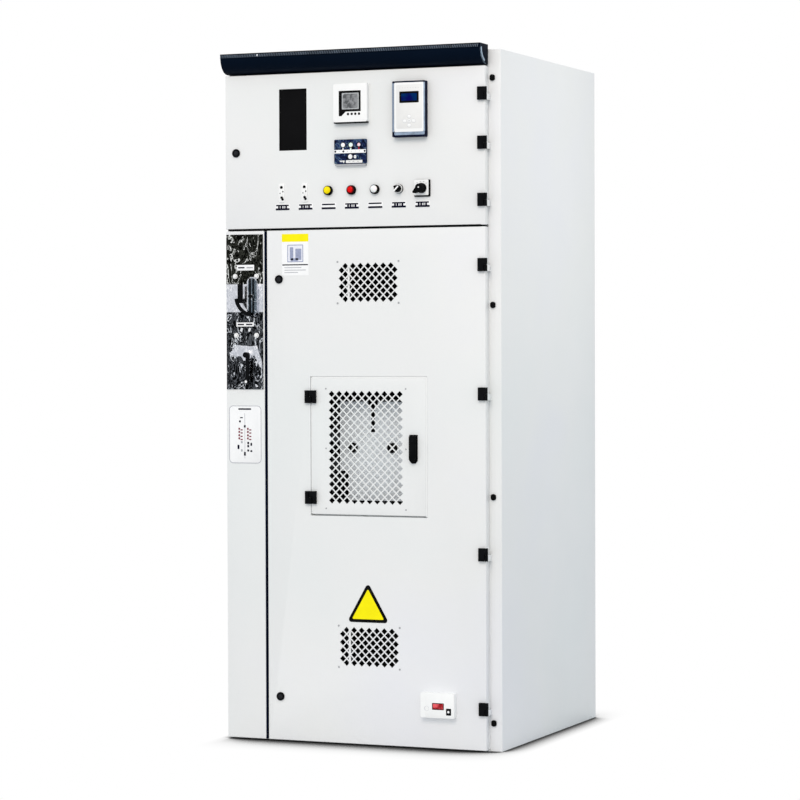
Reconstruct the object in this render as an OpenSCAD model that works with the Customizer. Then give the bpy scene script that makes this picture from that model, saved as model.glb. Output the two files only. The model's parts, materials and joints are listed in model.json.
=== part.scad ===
/* [Cabinet] */
// Width of the cabinet without its end cover
cab_w = 900; // [780:10:1200]
// Depth of the cabinet, without the doors and the header
cab_d = 900; // [700:10:1500]
// Height from the floor to the roof
cab_h = 2200; // [2100:10:2800]
// Thickness of the sheet steel
sheet = 2; // [1.5:0.5:3]
// Side of the square posts and rails
post = 40; // [30:1:50]
// Height of the base frame
base_h = 60; // [40:5:100]
// Wall of the base frame's angle
base_wall = 4; // [3:1:6]
// Width of the base frame's floor flange
base_flange = 50; // [40:1:80]
// Diameter of the floor bolt holes
anchor_d = 14; // [10:1:20]

/* [End cover] */
// Thickness of the cover on the right side
end_t = 42; // [30:1:60]
// Diameter of the plugs in its edges
plug_d = 20; // [16:1:24]
// How far a plug stands out
plug_out = 6; // [2:1:10]
// Distance of the end plugs from the floor and from the roof
plug_end = 89; // [60:1:200]

/* [Header] */
// Height of the header strip at its front
header_h = 62.5; // [55:0.5:90]
// How far the header rises over the roof
header_rise = 15; // [5:1:30]
// How far the header stands out from the frame
header_out = 67; // [55:1:100]
// Radius of the header's lower edge
header_round = 50; // [20:1:50]
// Height of the ribbed trim along the header's top edge
trim_h = 14; // [8:1:20]
// Thickness of the trim
trim_t = 2; // [1:0.5:4]

/* [Doors] */
// Distance from the frame to the doors' front
door_out = 30; // [26:1:50]
// Depth of the doors' folded edges
door_fold = 22; // [15:1:22]
// Gap between the two doors
seam = 6; // [5:1:12]
// Distance from the roof down to the middle of that gap
seam_drop = 551; // [540:1:700]
// Gap below the main door and above the instrument door
edge_gap = 5; // [5:1:15]
// Width of the mechanism column
column_w = 136.5; // [130:0.5:200]
// Gap between the column and the main door
column_gap = 10; // [6:1:20]
// Width of the upright stiffener inside the main door
stiffener_w = 7; // [6:1:30]
// Depth of the upright stiffener inside the main door
stiffener_t = 5; // [4:1:16]

/* [Hatch] */
// Width of the hatch in the main door
hatch_w = 394; // [330:1:420]
// Height of the hatch
hatch_h = 436; // [400:1:440]
// Distance from the main door's left edge to the hatch
hatch_in = 157; // [120:0.5:180]
// Height of the hatch's lower edge
hatch_z = 736; // [600:1:780]
// Gap around the hatch
hatch_gap = 5; // [5:1:8]
// Depth of the hatch's folded edges
hatch_fold = 12; // [8:1:12]
// Width of the rebate behind the hatch
rebate = 12; // [8:1:20]

/* [Grilles] */
// Distance between two diamond holes in a row
pitch = 26.2; // [24:0.1:30]
// Corner to corner size of a diamond hole
diamond = 21; // [8:1:22]
// Plain width left of the hatch's holes
hatch_left_rim = 59; // [40:0.5:80]
// Plain width right of the hatch's holes, where the handle sits
hatch_right_rim = 78; // [75:0.5:100]
// Plain height below the hatch's holes
hatch_low_rim = 34; // [20:0.5:60]
// Plain height above the hatch's holes
hatch_top_rim = 40; // [20:0.5:60]
// Holes in a vent's longer rows
vent_cols = 8; // [3:1:10]
// Rows of holes in a vent
vent_rows = 9; // [5:2:11]
// Distance from the cabinet's left side to the middle of the vents
vent_x = 501; // [400:1:520]
// Distance from the door gap down to the middle of the upper vent
vent_drop = 173; // [150:1:190]
// Height of the middle of the lower vent
vent_z = 315; // [250:1:350]
// Plain rim around a grille's holes
grille_rim = 8; // [4:1:15]

/* [Hinges and locks] */
// Height of a hinge
hinge_h = 41; // [30:1:60]
// Width of a door hinge's leaf
leaf_w = 20.5; // [16:0.5:30]
// Width of a hatch hinge's leaf
hatch_leaf_w = 12; // [10:0.5:20]
// Radius of a hinge's barrel
barrel_r = 5; // [4:0.5:5]
// Diameter of a hinge pin
pin_d = 5; // [3:0.5:6]
// Distance from a door's face to the hinge axis
hinge_lift = 6; // [6:0.5:10]
// Diameter of a lock's head
lock_d = 27; // [20:1:32]
// Distance from a door's left edge to its locks
lock_in = 40; // [38:1:60]
// Length of a lock's cam, from its axis
cam_reach = 24; // [22:1:24]
// Width of a lock's cam
cam_w = 14; // [10:1:16]

/* [Instruments] */
// Width of the meter
meter_w = 117; // [96:1:144]
// Height of the meter
meter_h = 126; // [96:1:144]
// Depth of the meter's bezel in front of the door
meter_out = 18; // [8:1:25]
// Width of the protection relay
relay_w = 112; // [100:1:160]
// Height of the protection relay
relay_h = 176; // [140:1:200]
// Depth of the relay in front of the door
relay_out = 24; // [10:1:40]
// Width of the voltage presence indicator
presence_w = 110; // [90:1:130]
// Height of the voltage presence indicator
presence_h = 84; // [60:1:90]
// Width of the black window
window_w = 97; // [60:1:120]
// Height of the black window
window_h = 197; // [100:1:220]
// Distance from the roof down to the tops of the meter and the relay
device_drop = 93; // [75:1:100]
// Distance from the roof down to the row of switches
row_drop = 430; // [420:1:440]
// Distance between two pieces in that row
row_pitch = 81; // [65:1:85]
// Diameter of a lamp's bezel
lamp_d = 30; // [22:1:36]
// Side of the cam switch's square plate
cam_plate = 54; // [40:1:60]

/* [Mechanism] */
// Height of the upper mechanism plate
plate_top_h = 160; // [120:1:200]
// Height of the bright middle plate
plate_mid_h = 91; // [60:1:120]
// Height of the lower mechanism plate
plate_low_h = 249; // [200:1:300]
// Thickness of the mechanism plates
plate_t = 3; // [2:0.5:5]

/* [Hidden] */
$fn = 48;

pale = [0.91, 0.92, 0.92];
dark = [0.08, 0.09, 0.10];
navy = [0.07, 0.11, 0.22];
white = [0.95, 0.95, 0.94];
steel = [0.45, 0.46, 0.48];
eps = 1;

// Doors
seam_z = cab_h - seam_drop;
face_y = -door_out;
inner_y = face_y + sheet;
main_left = column_w + column_gap;
main_top = seam_z - seam / 2;
inst_bottom = seam_z + seam / 2;
header_bottom = cab_h + header_rise - header_h;
inst_top = header_bottom - edge_gap;
hinge_x = cab_w + 4;
hinge_y = face_y - hinge_lift;
inst_hinges = [cab_h - 139, cab_h - 292, cab_h - 470];
main_hinges = [main_top - 119, main_top - 523, 620, 135];
pin_play = 0.05;
knuckle_gap = 0.5;
// Distance from a hinge's axis to its leaf, on the doors and on the hatch
leaf_gap = 6;
hatch_leaf_gap = 7;
inst_lock_z = cab_h - 302;
main_lock_x = main_left + lock_in + 3;
main_lock_z = [main_top - 157, 145];

// Hatch
hatch_x = main_left + hatch_in;
hatch_hinge_x = hatch_x - 2.5;
hatch_hinge_z = [hatch_z + 53, hatch_z + hatch_h - 60];
handle_x = hatch_x + hatch_w - 41;
handle_z = hatch_z + 241;
hatch_cols = 1 + floor((hatch_w - hatch_left_rim - hatch_right_rim - diamond) / pitch + 0.001);
hatch_rows = 1 + floor((hatch_h - hatch_low_rim - hatch_top_rim - diamond) / pitch * 2 + 0.001);
screen_x = hatch_x + hatch_left_rim + diamond / 2;
screen_z = hatch_z + hatch_low_rim + diamond / 2;
barrier_y = 60;
barrier_x = screen_x - 11;
barrier_z = [hatch_z + 41, hatch_z + hatch_h - 77];

// Instruments, by the middle of each
window_x = 240.5;
window_z = cab_h - 200;
meter_x = 448.5;
meter_z = cab_h - device_drop - meter_h / 2;
relay_x = 651.5;
relay_z = cab_h - device_drop - relay_h / 2;
presence_x = 445;
presence_z = cab_h - 311.5;
row_z = cab_h - row_drop;
row_x = [for (i = [0 : 6]) 203.5 + i * row_pitch];
link_x = [row_x[0], row_x[1]];
lamp_x = [row_x[2], row_x[3], row_x[4]];
selector_x = row_x[5];
cam_switch_x = row_x[6];
label_z = row_z - 50;

// Mechanism
plate_left = sheet;
plate_right = column_w - 4;
plates_top = main_top - 11;
mid_top = plates_top - plate_top_h;
low_top = mid_top - plate_mid_h;
low_bottom = low_top - plate_low_h;
dial_x = 99.5;
dial_z = mid_top - 40;
hub_x = 79;
hub_z = low_top - 138;

module box(x, y, z) translate([x[0], y[0], z[0]]) cube([x[1] - x[0], y[1] - y[0], z[1] - z[0]]);

// Moves what is measured from the cabinet's front left corner to the middle of the cabinet.
module placed() translate([-cab_w / 2, -cab_d / 2, 0]) children();

// A sheet folded back along its four edges, its front face at y.
module tray(x, y, z, fold) {
    difference() {
        box(x, [y, y + fold], z);
        box([x[0] + sheet, x[1] - sheet], [y + sheet, y + fold + eps], [z[0] + sheet, z[1] - sheet]);
    }
}

// A square hollow bar between two corners, along its longest side.
module bar(x, y, z, along) {
    inner = [for (a = [0 : 2]) a == along ? -eps : sheet];
    difference() {
        box(x, y, z);
        box([x[0] + inner[0], x[1] - inner[0]], [y[0] + inner[1], y[1] - inner[1]],
            [z[0] + inner[2], z[1] - inner[2]]);
    }
}

// A round piece along Y, from y to y + length.
module round_y(x, y, z, r, length) translate([x, y, z]) rotate([-90, 0, 0]) cylinder(r = r, h = length);

// A flat outline drawn in X and Z, from y to y + t.
module plate_y(y, t) translate([0, y + t, 0]) rotate([90, 0, 0]) linear_extrude(t) children();

// A plate with staggered diamond holes. short_first leaves one hole out of the first row.
module grille(x, z, cols, rows, short_first) {
    w = (cols - 1) * pitch + diamond + 2 * grille_rim;
    h = (rows - 1) * pitch / 2 + diamond + 2 * grille_rim;
    plate_y(face_y, sheet) difference() {
        translate([x - w / 2, z - h / 2]) square([w, h]);
        for (r = [0 : rows - 1]) {
            short = (r % 2 == 0) == short_first ? 1 : 0;
            for (c = [0 : cols - 1 - short])
                translate([x + (c - (cols - 1 - short) / 2) * pitch, z + (r - (rows - 1) / 2) * pitch / 2])
                    rotate(45) square(diamond / sqrt(2), center = true);
        }
    }
}

function grille_x(x, cols) = let (w = (cols - 1) * pitch / 2 + diamond / 2 + grille_rim) [x - w, x + w];
function grille_z(z, rows) = let (h = (rows - 1) * pitch / 4 + diamond / 2 + grille_rim) [z - h, z + h];
screen_mid_x = screen_x + (hatch_cols - 1) * pitch / 2;
screen_mid_z = screen_z + (hatch_rows - 1) * pitch / 4;
vent_mid_z = [vent_z, seam_z - vent_drop];

// A leaf on a door's face, to the left of the axis, with its arm to the upper or the lower knuckle.
module leaf(w, gap, arm_z) {
    translate([-w - gap, -4, -hinge_h / 2]) cube([w, 4 + hinge_lift, hinge_h]);
    translate([-gap - eps, -4, arm_z]) cube([gap + eps, 4, hinge_h / 2 - knuckle_gap]);
}

// The half of a hinge that turns: its leaf and the upper knuckle.
module turning_leaf(w, gap) {
    difference() {
        union() {
            leaf(w, gap, knuckle_gap);
            translate([0, 0, knuckle_gap]) cylinder(r = barrel_r, h = hinge_h / 2 - knuckle_gap);
        }
        translate([0, 0, -eps]) cylinder(d = pin_d + 2 * pin_play, h = hinge_h);
    }
}

// The fixed lower knuckle with its pin.
module fixed_knuckle() {
    translate([0, 0, -hinge_h / 2]) cylinder(r = barrel_r, h = hinge_h / 2 - knuckle_gap);
    translate([0, 0, -hinge_h / 2]) cylinder(d = pin_d, h = hinge_h);
}

// A round lock with its cam hanging down; the origin is on the door's face.
module cam_lock() {
    round_y(0, -4, 0, lock_d / 2, 3.5);
    round_y(0, -1, 0, 9.5, 18);
    translate([-cam_w / 2, 14, -cam_reach]) cube([cam_w, 3, cam_reach]);
}

// The bracket that a lock's cam turns behind; the origin is on the frame's front, in line with the lock.
module keeper() {
    lip_y = -door_out + 7;
    translate([-31, lip_y, -12]) cube([2, -lip_y, 24]);
    translate([-31, lip_y, -12]) cube([14, 2, 24]);
    translate([-31, -2, -12]) cube([22, 2, 24]);
}

module base_frame() color(pale) placed() {
    lo = sheet;
    x = [lo, cab_w - lo];
    y = [0, cab_d - lo];
    difference() {
        box(x, y, [0, base_h]);
        box([x[0] + base_wall, x[1] - base_wall], [y[0] + base_wall, y[1] - base_wall], [base_wall, base_h + eps]);
        box([x[0] + base_flange, x[1] - base_flange], [y[0] + base_flange, y[1] - base_flange], [-eps, base_h]);
        for (px = [x[0] + base_flange / 2, x[1] - base_flange / 2])
            for (py = [base_flange / 2 + 75, cab_d - base_flange / 2 - 75])
                translate([px, py, -eps]) cylinder(d = anchor_d, h = base_wall + 2 * eps);
    }
}

module floor_plate() color(pale) placed()
    box([sheet, cab_w - sheet], [0, cab_d - sheet], [base_h, base_h + sheet]);

module uprights() color(pale) placed() {
    z = [base_h + sheet, cab_h - sheet];
    for (x = [sheet, cab_w - sheet - post])
        for (y = [0, cab_d - sheet - post])
            bar([x, x + post], [y, y + post], z, 2);
    bar([main_left + 5, main_left + 5 + post], [0, post], [z[0], seam_z - post / 2], 2);
}

module cross_rails() color(pale) placed() {
    x = [sheet + post, cab_w - sheet - post];
    back = [cab_d - sheet - post, cab_d - sheet];
    bar(x, [0, post], [seam_z - post / 2, seam_z + post / 2], 0);
    bar(x, [0, post], [cab_h - sheet - post, cab_h - sheet], 0);
    bar(x, back, [cab_h - sheet - post, cab_h - sheet], 0);
    for (z = [hatch_z + 140, hatch_z + 227])
        bar([column_w - 2, cab_w - sheet], [barrier_y + sheet, barrier_y + sheet + 30], [z, z + 30], 0);
}

module roof_panel() color(pale) placed() box([0, cab_w], [0, cab_d], [cab_h - sheet, cab_h]);

module left_side_sheet() color(pale) placed() box([0, sheet], [0, cab_d - sheet], [0, cab_h - sheet]);

module right_side_sheet() color(pale) placed()
    box([cab_w - sheet, cab_w], [0, cab_d - sheet], [0, cab_h - sheet]);

module end_cover() color(pale) placed() difference() {
    box([cab_w, cab_w + end_t], [0, cab_d], [0, cab_h]);
    box([cab_w - eps, cab_w + end_t - sheet], [sheet, cab_d - sheet], [sheet, cab_h - sheet]);
    for (z = plug_heights())
        for (y = [-eps, cab_d - sheet - eps])
            round_y(plug_x(), y, z, 4, sheet + 2 * eps);
}

function plug_x() = cab_w + 0.35 * end_t;
function plug_heights() = [for (i = [0 : 3]) plug_end + i * (cab_h - 2 * plug_end) / 3 + [0, 36, -36, 0][i]];

// A plug's head: a round flattened at both sides.
module plug_head(y, z) plate_y(y, plug_out) translate([plug_x(), z]) intersection() {
    circle(d = plug_d);
    square([0.84 * plug_d, plug_d + 1], center = true);
}

module end_cover_plugs() color(dark) placed() for (z = plug_heights()) {
    plug_head(-plug_out, z);
    round_y(plug_x(), 0, z, 3.8, sheet + 4);
    plug_head(cab_d, z);
    round_y(plug_x(), cab_d - sheet - 4, z, 3.8, sheet + 4);
}

module rear_covers() color(pale) placed() {
    box([0, cab_w], [cab_d - sheet, cab_d], [edge_gap, cab_h / 2 - 1.5]);
    box([0, cab_w], [cab_d - sheet, cab_d], [cab_h / 2 + 1.5, cab_h - sheet]);
}

module inner_partitions() color(pale) placed() {
    shelf = seam_z + post / 2;
    box([sheet, cab_w - sheet], [post, 400], [shelf, shelf + sheet]);
    box([sheet, cab_w - sheet], [400, 400 + sheet], [shelf, cab_h - sheet]);
    box([column_w - 4, column_w - 2], [post, 500], [base_h + sheet, shelf]);
}

module inner_barrier() color(white) placed() {
    cut_y = [barrier_y - eps, barrier_y + sheet + eps];
    difference() {
        box([barrier_x, cab_w - sheet], [barrier_y, barrier_y + sheet], barrier_z);
        box([screen_x + 98, screen_x + 112], cut_y, [hatch_z + 261, hatch_z + 348]);
        box([screen_x + 87, screen_x + 122], cut_y, [hatch_z + 347, barrier_z[1] + eps]);
        box([barrier_x - eps, screen_x + 19], cut_y, [barrier_z[0] - eps, hatch_z + 136]);
    }
    for (x = [screen_x + 35, screen_x + 173]) difference() {
        round_y(x, barrier_y - 8, hatch_z + 211, 16, 8);
        round_y(x, barrier_y - 9, hatch_z + 211, 6, 10);
    }
}

// The header's section, from its front to the frame, drawn t inside its outer face.
module header_outline(t) {
    top = header_h - header_round - t;
    translate([header_round - header_out, header_bottom + header_round]) {
        intersection() {
            circle(header_round - t, $fn = 96);
            translate([-header_round, -header_round]) square(header_round);
        }
        translate([t - header_round, 0]) square([header_round - t, top]);
        translate([0, t - header_round]) square([header_out - header_round, top + header_round - t]);
    }
}

module header() color(navy) placed() {
    difference() {
        rotate([90, 0, 90]) linear_extrude(cab_w) header_outline(0);
        translate([sheet, 0, 0]) rotate([90, 0, 90]) linear_extrude(cab_w - 2 * sheet) header_outline(sheet);
        box([-eps, cab_w + eps], [0, header_out], [header_bottom, cab_h + header_rise + eps]);
    }
    box([sheet, cab_w - sheet], [-sheet, 0], [cab_h - post, cab_h + header_rise - sheet]);
}

module header_trim() color(steel) placed()
    box([0, cab_w], [-header_out - trim_t, -header_out],
        [cab_h + header_rise - trim_h, cab_h + header_rise]);

module column_cover() color(pale) placed()
    tray([0, column_w], face_y, [edge_gap, main_top], door_out);

module mechanism_plates() color(dark) placed() {
    x = [plate_left, plate_right];
    y = [face_y - plate_t, face_y];
    box(x, y, [mid_top, plates_top]);
    color(steel) box(x, y, [low_top, mid_top]);
    box(x, y, [low_bottom, low_top]);
}

module column_labels() color(white) placed() {
    y = face_y - plate_t;
    box([41, 102], [y - 1, y], [mid_top + 44, mid_top + 62]);
    box([38, 100], [y - 1, y], [low_top - 46, low_top - 33]);
    plate_y(face_y - 1, 1) translate([8.5, low_bottom - 240]) {
        w = 116;
        h = 187.5;
        r = 14;
        translate([r, 0]) square([w - 2 * r, h]);
        translate([0, r]) square([w, h - 2 * r]);
        for (px = [r, w - r])
            for (pz = [r, h - r])
                translate([px, pz]) circle(r);
    }
}

module dial_housing() color(steel) placed() {
    y = face_y - plate_t;
    half = 18;
    tall = 62;
    plate_y(y - 16, 16) {
        translate([dial_x, dial_z + tall - half]) circle(half);
        translate([dial_x, dial_z - tall + half]) circle(half);
        translate([dial_x - half, dial_z - tall + half]) square([2 * half, 2 * (tall - half)]);
    }
}

module guide_plate() color(steel) placed() {
    y = face_y - plate_t;
    plate_y(y - 10, 10) translate([hub_x, hub_z]) {
        polygon([[-35, 34], [-61, 7], [-57, -3], [-20, -3], [-14, -19], [12, -19], [25, 3], [35, -16], [44, -39],
            [53, -43], [51, -16], [41, 13], [35, 32], [10, 26], [-6, 32], [-17, 28]]);
        circle(18);
    }
}

module frame_hinge_leaves() color(dark) placed() {
    for (z = concat(inst_hinges, main_hinges)) translate([hinge_x, hinge_y, z]) {
        fixed_knuckle();
        translate([-1, 0, -hinge_h / 2]) cube([4, -hinge_y, hinge_h / 2 - knuckle_gap]);
    }
}

module lock_keepers() color(steel) placed() {
    translate([lock_in - 1.5, 0, inst_lock_z]) keeper();
    for (z = main_lock_z) translate([main_lock_x, 0, z]) keeper();
}

module door_seal() color(dark) placed() {
    box([sheet, cab_w - 10], [-3, 0], [main_top + 1, inst_bottom + 4]);
    box([column_w, column_w + 3], [face_y + sheet, 0], [edge_gap, main_top - 3]);
}

module instrument_door() color(pale) placed() difference() {
    tray([0, cab_w], face_y, [inst_bottom, inst_top], door_fold);
    cut(window_x, window_z, window_w, window_h);
    cut(meter_x, meter_z, meter_w - 28, meter_h - 34);
    cut(relay_x, relay_z, relay_w - 12, relay_h - 14);
    cut(presence_x, presence_z, presence_w - 15, presence_h - 12);
    cut(cam_switch_x, row_z, 22, 22);
    for (x = concat(lamp_x, [selector_x])) round_y(x, face_y - eps, row_z, 11.5, 4);
    round_y(lock_in - 1.5, face_y - eps, inst_lock_z, 11, 4);
}

// A rectangular cut-out in a door's skin, by its middle.
module cut(x, z, w, h) box([x - w / 2, x + w / 2], [face_y - eps, inner_y + eps], [z - h / 2, z + h / 2]);

module instrument_door_leaves() color(dark) placed()
    for (z = inst_hinges) translate([hinge_x, hinge_y, z]) turning_leaf(leaf_w, leaf_gap);

module window_plate() color(dark) placed()
    box([window_x - window_w / 2 - 10, window_x + window_w / 2 + 10], [inner_y, inner_y + 3],
        [window_z - window_h / 2 - 10, window_z + window_h / 2 + 10]);

// A device through the door: a bezel in front and a body behind it.
module device(x, z, w, h, out, body_w, body_h, body_d) {
    box([x - w / 2, x + w / 2], [face_y - out, face_y], [z - h / 2, z + h / 2]);
    box([x - body_w / 2, x + body_w / 2], [face_y - eps, face_y + body_d], [z - body_h / 2, z + body_h / 2]);
}

module power_meter() color(white) placed()
    device(meter_x, meter_z, meter_w, meter_h, meter_out, meter_w - 30, meter_h - 36, 90);

module protection_relay() color([0.30, 0.42, 0.62]) placed()
    device(relay_x, relay_z, relay_w, relay_h, relay_out, relay_w - 14, relay_h - 16, 140);

module presence_indicator() color(navy) placed()
    device(presence_x, presence_z, presence_w, presence_h, 12, presence_w - 17, presence_h - 14, 70);

module indicator_lamps() placed() for (i = [0 : 2]) color(["gold", "red", "white"][i]) {
    round_y(lamp_x[i], face_y - 6, row_z, lamp_d / 2, 6);
    round_y(lamp_x[i], face_y - 12, row_z, 11, 7);
    round_y(lamp_x[i], face_y - eps, row_z, 11, 55);
}

module trip_links() color(white) placed() for (x = link_x)
    box([x - 13, x + 7], [face_y - 5, face_y], [row_z - 34, row_z + 26]);

module switch_plates() color(white) placed() {
    difference() {
        union() {
            round_y(selector_x, face_y - 6, row_z, lamp_d / 2, 6);
            round_y(selector_x, face_y - eps, row_z, 11, 55);
        }
        round_y(selector_x, face_y - 7, row_z, 5.5, 30);
    }
    difference() {
        union() {
            box([cam_switch_x - cam_plate / 2, cam_switch_x + cam_plate / 2], [face_y - 6, face_y],
                [row_z - cam_plate / 2, row_z + cam_plate / 2]);
            box([cam_switch_x - 10, cam_switch_x + 10], [face_y - eps, face_y + 60], [row_z - 10, row_z + 10]);
        }
        round_y(cam_switch_x, face_y - 7, row_z, 5.5, 30);
    }
}

module instrument_labels() color(white) placed() for (x = row_x)
    box([x - 25.5, x + 25.5], [face_y - 1.5, face_y], [label_z - 10, label_z + 10]);

module main_door() color(pale) placed() {
    hole_x = [hatch_x - hatch_gap, hatch_x + hatch_w + hatch_gap];
    hole_z = [hatch_z - hatch_gap, hatch_z + hatch_h + hatch_gap];
    lip_y = face_y + hatch_fold + 5;
    difference() {
        tray([main_left, cab_w], face_y, [edge_gap, main_top], door_fold);
        box(hole_x, [face_y - eps, inner_y + eps], hole_z);
        for (z = vent_mid_z)
            box(grille_x(vent_x, vent_cols), [face_y - eps, inner_y + eps], grille_z(z, vent_rows));
        for (z = main_lock_z) round_y(main_lock_x, face_y - eps, z, 11, 4);
    }
    difference() {
        box([hole_x[0] - sheet, hole_x[1] + sheet], [inner_y, lip_y + sheet], [hole_z[0] - sheet, hole_z[1] + sheet]);
        box(hole_x, [face_y, lip_y], hole_z);
        box([hole_x[0] + rebate, hole_x[1] - rebate], [face_y, lip_y + 3], [hole_z[0] + rebate, hole_z[1] - rebate]);
    }
}

module main_door_leaves() color(dark) placed() {
    for (z = main_hinges) translate([hinge_x, hinge_y, z]) turning_leaf(leaf_w, leaf_gap);
    for (z = hatch_hinge_z) translate([hatch_hinge_x, hinge_y, z]) {
        fixed_knuckle();
        leaf(hatch_leaf_w, hatch_leaf_gap, -hinge_h / 2);
    }
}

module door_stiffeners() color(pale) placed() {
    x = [vent_x - 72, vent_x - 72 + stiffener_w];
    y = [inner_y, inner_y + stiffener_t];
    box(x, y, [hatch_z + hatch_h + 30, main_top - sheet]);
    box(x, y, [edge_gap + sheet, hatch_z - 30]);
}

module vent_grilles() color(pale) placed() for (z = vent_mid_z)
    grille(vent_x, z, vent_cols, vent_rows, true);

module notice_plate() color("gold") placed()
    box([main_left + 53.5, main_left + 147], [face_y - 0.8, face_y], [main_top - 145, main_top - 12]);

module triangle_plate() color("gold") placed() plate_y(face_y - 1.5, 1.5)
    translate([vent_x - 3.5, 0]) polygon([[-66.5, 394], [66.5, 394], [0, 512.5]]);

module magnetic_lock() color(white) placed()
    box([cab_w - 214.5, cab_w - 100], [face_y - 22, face_y], [103.5, 182.5]);

module hatch() color(pale) placed() difference() {
    tray([hatch_x, hatch_x + hatch_w], face_y, [hatch_z, hatch_z + hatch_h], hatch_fold);
    box(grille_x(screen_mid_x, hatch_cols), [face_y - eps, inner_y + eps], grille_z(screen_mid_z, hatch_rows));
    round_y(handle_x, face_y - eps, handle_z, 6, 4);
}

module hatch_screen() color(pale) placed() grille(screen_mid_x, screen_mid_z, hatch_cols, hatch_rows, false);

module hatch_leaves() color(dark) placed()
    for (z = hatch_hinge_z) translate([hatch_hinge_x, hinge_y, z]) mirror([1, 0, 0])
        turning_leaf(hatch_leaf_w, hatch_leaf_gap);

module handle_plate() color(dark) placed() difference() {
    plate_y(face_y - 3, 3) translate([handle_x, handle_z]) difference() {
        polygon([[-14, 16], [14, 16], [14, -66], [6, -75], [-6, -75], [-14, -66]]);
        circle(6);
    }
}

module hatch_handle() color(dark) placed() {
    plate_y(face_y - 16, 12) translate([handle_x, handle_z])
        polygon([[-11, 12], [11, 12], [11, -62], [5, -70], [-5, -70], [-11, -62]]);
    cam_y = face_y + hatch_fold + 5 + sheet + 5;
    round_y(handle_x, face_y - 5, handle_z, 5, cam_y + 3 - face_y + 5);
    box([handle_x - 8, handle_x + 8], [cam_y, cam_y + 3], [handle_z - 40, handle_z + 8]);
}

module instrument_lock() color(dark) placed() translate([lock_in - 1.5, face_y, inst_lock_z]) cam_lock();

module main_upper_lock() color(dark) placed() translate([main_lock_x, face_y, main_lock_z[0]]) cam_lock();

module main_lower_lock() color(dark) placed() translate([main_lock_x, face_y, main_lock_z[1]]) cam_lock();

module selector_knob() color(dark) placed() {
    round_y(selector_x, face_y - 16, row_z, 11, 9.5);
    round_y(selector_x, face_y - 8, row_z, 5, 25);
    translate([selector_x, 0, row_z]) rotate([0, -45, 0])
        translate([-3, face_y - 24, -11]) cube([6, 9, 22]);
}

module cam_switch_knob() color(dark) placed() {
    round_y(cam_switch_x, face_y - 14, row_z, 16, 7.5);
    round_y(cam_switch_x, face_y - 8, row_z, 5, 25);
    plate_y(face_y - 32, 18) translate([cam_switch_x, row_z]) rotate(-145) {
        polygon([[-3, -13], [-3, 13], [22, 4], [22, -4]]);
        circle(13.2);
        translate([22, 0]) circle(4);
    }
}

module upper_lever() color(dark) placed() translate([dial_x, face_y - plate_t - 26, dial_z]) {
    translate([10, 0, 0]) rotate([90, 0, 0]) rotate([0, 0, 187])
        rotate_extrude(angle = 73, $fn = 96) translate([60, 0]) circle(6);
    round_y(0, -5, 0, 5, 15);
    translate([-2, -5, -60]) cube([4, 9, 118]);
    translate([-42, -6, -22]) cube([14, 12, 61]);
}

module lower_lever() color(dark) placed() translate([hub_x, face_y - plate_t, hub_z]) {
    round_y(0, -22, 0, 9, 11.5);
    translate([1, -22, -92]) cube([10, 8, 92]);
    round_y(6, -30, -84, 6, 10);
}

base_frame();
floor_plate();
uprights();
cross_rails();
roof_panel();
left_side_sheet();
right_side_sheet();
end_cover();
end_cover_plugs();
rear_covers();
inner_partitions();
inner_barrier();
header();
header_trim();
column_cover();
mechanism_plates();
column_labels();
dial_housing();
guide_plate();
frame_hinge_leaves();
lock_keepers();
door_seal();
instrument_door();
instrument_door_leaves();
window_plate();
power_meter();
protection_relay();
presence_indicator();
indicator_lamps();
trip_links();
switch_plates();
instrument_labels();
main_door();
main_door_leaves();
door_stiffeners();
vent_grilles();
notice_plate();
triangle_plate();
magnetic_lock();
hatch();
hatch_screen();
hatch_leaves();
handle_plate();
hatch_handle();
instrument_lock();
main_upper_lock();
main_lower_lock();
selector_knob();
cam_switch_knob();
upper_lever();
lower_lever();
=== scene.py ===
"""A metal-enclosed switchgear cabinet: finishes, small parts, floor, light and camera.

Sizes of the small parts are in millimetres, in a face's own directions: u to the viewer's right,
v up and w out towards the viewer. Blender's objects are in metres.
"""

import json
import math

import bmesh
import bpy
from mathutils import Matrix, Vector


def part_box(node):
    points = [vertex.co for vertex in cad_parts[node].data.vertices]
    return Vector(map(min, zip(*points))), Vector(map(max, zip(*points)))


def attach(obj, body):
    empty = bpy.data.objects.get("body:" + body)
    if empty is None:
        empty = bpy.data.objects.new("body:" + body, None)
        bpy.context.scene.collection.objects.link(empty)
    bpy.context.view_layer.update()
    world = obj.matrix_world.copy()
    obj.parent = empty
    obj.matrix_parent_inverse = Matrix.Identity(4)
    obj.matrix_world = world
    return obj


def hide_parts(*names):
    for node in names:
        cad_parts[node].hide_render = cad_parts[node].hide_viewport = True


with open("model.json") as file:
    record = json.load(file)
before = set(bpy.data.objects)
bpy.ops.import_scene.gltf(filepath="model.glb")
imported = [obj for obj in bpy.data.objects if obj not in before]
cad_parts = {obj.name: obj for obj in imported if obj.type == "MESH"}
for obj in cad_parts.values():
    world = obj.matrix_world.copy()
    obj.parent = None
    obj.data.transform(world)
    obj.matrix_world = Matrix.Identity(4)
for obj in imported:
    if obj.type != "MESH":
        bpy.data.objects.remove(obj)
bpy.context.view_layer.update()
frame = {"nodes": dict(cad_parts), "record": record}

MM = 0.001
NODES = frame["nodes"]
RECORD = frame["record"]
BODY = {n: b for b, names in RECORD["behaviour"]["bodies"].items() for n in names}


# ---------------------------------------------------------------- camera

FOCAL = 128.57
EYE = (3.6662, -8.8053, 1.2835)
YAW, PITCH, ROLL = 0.3986, 0.0200, -0.0033


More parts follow.
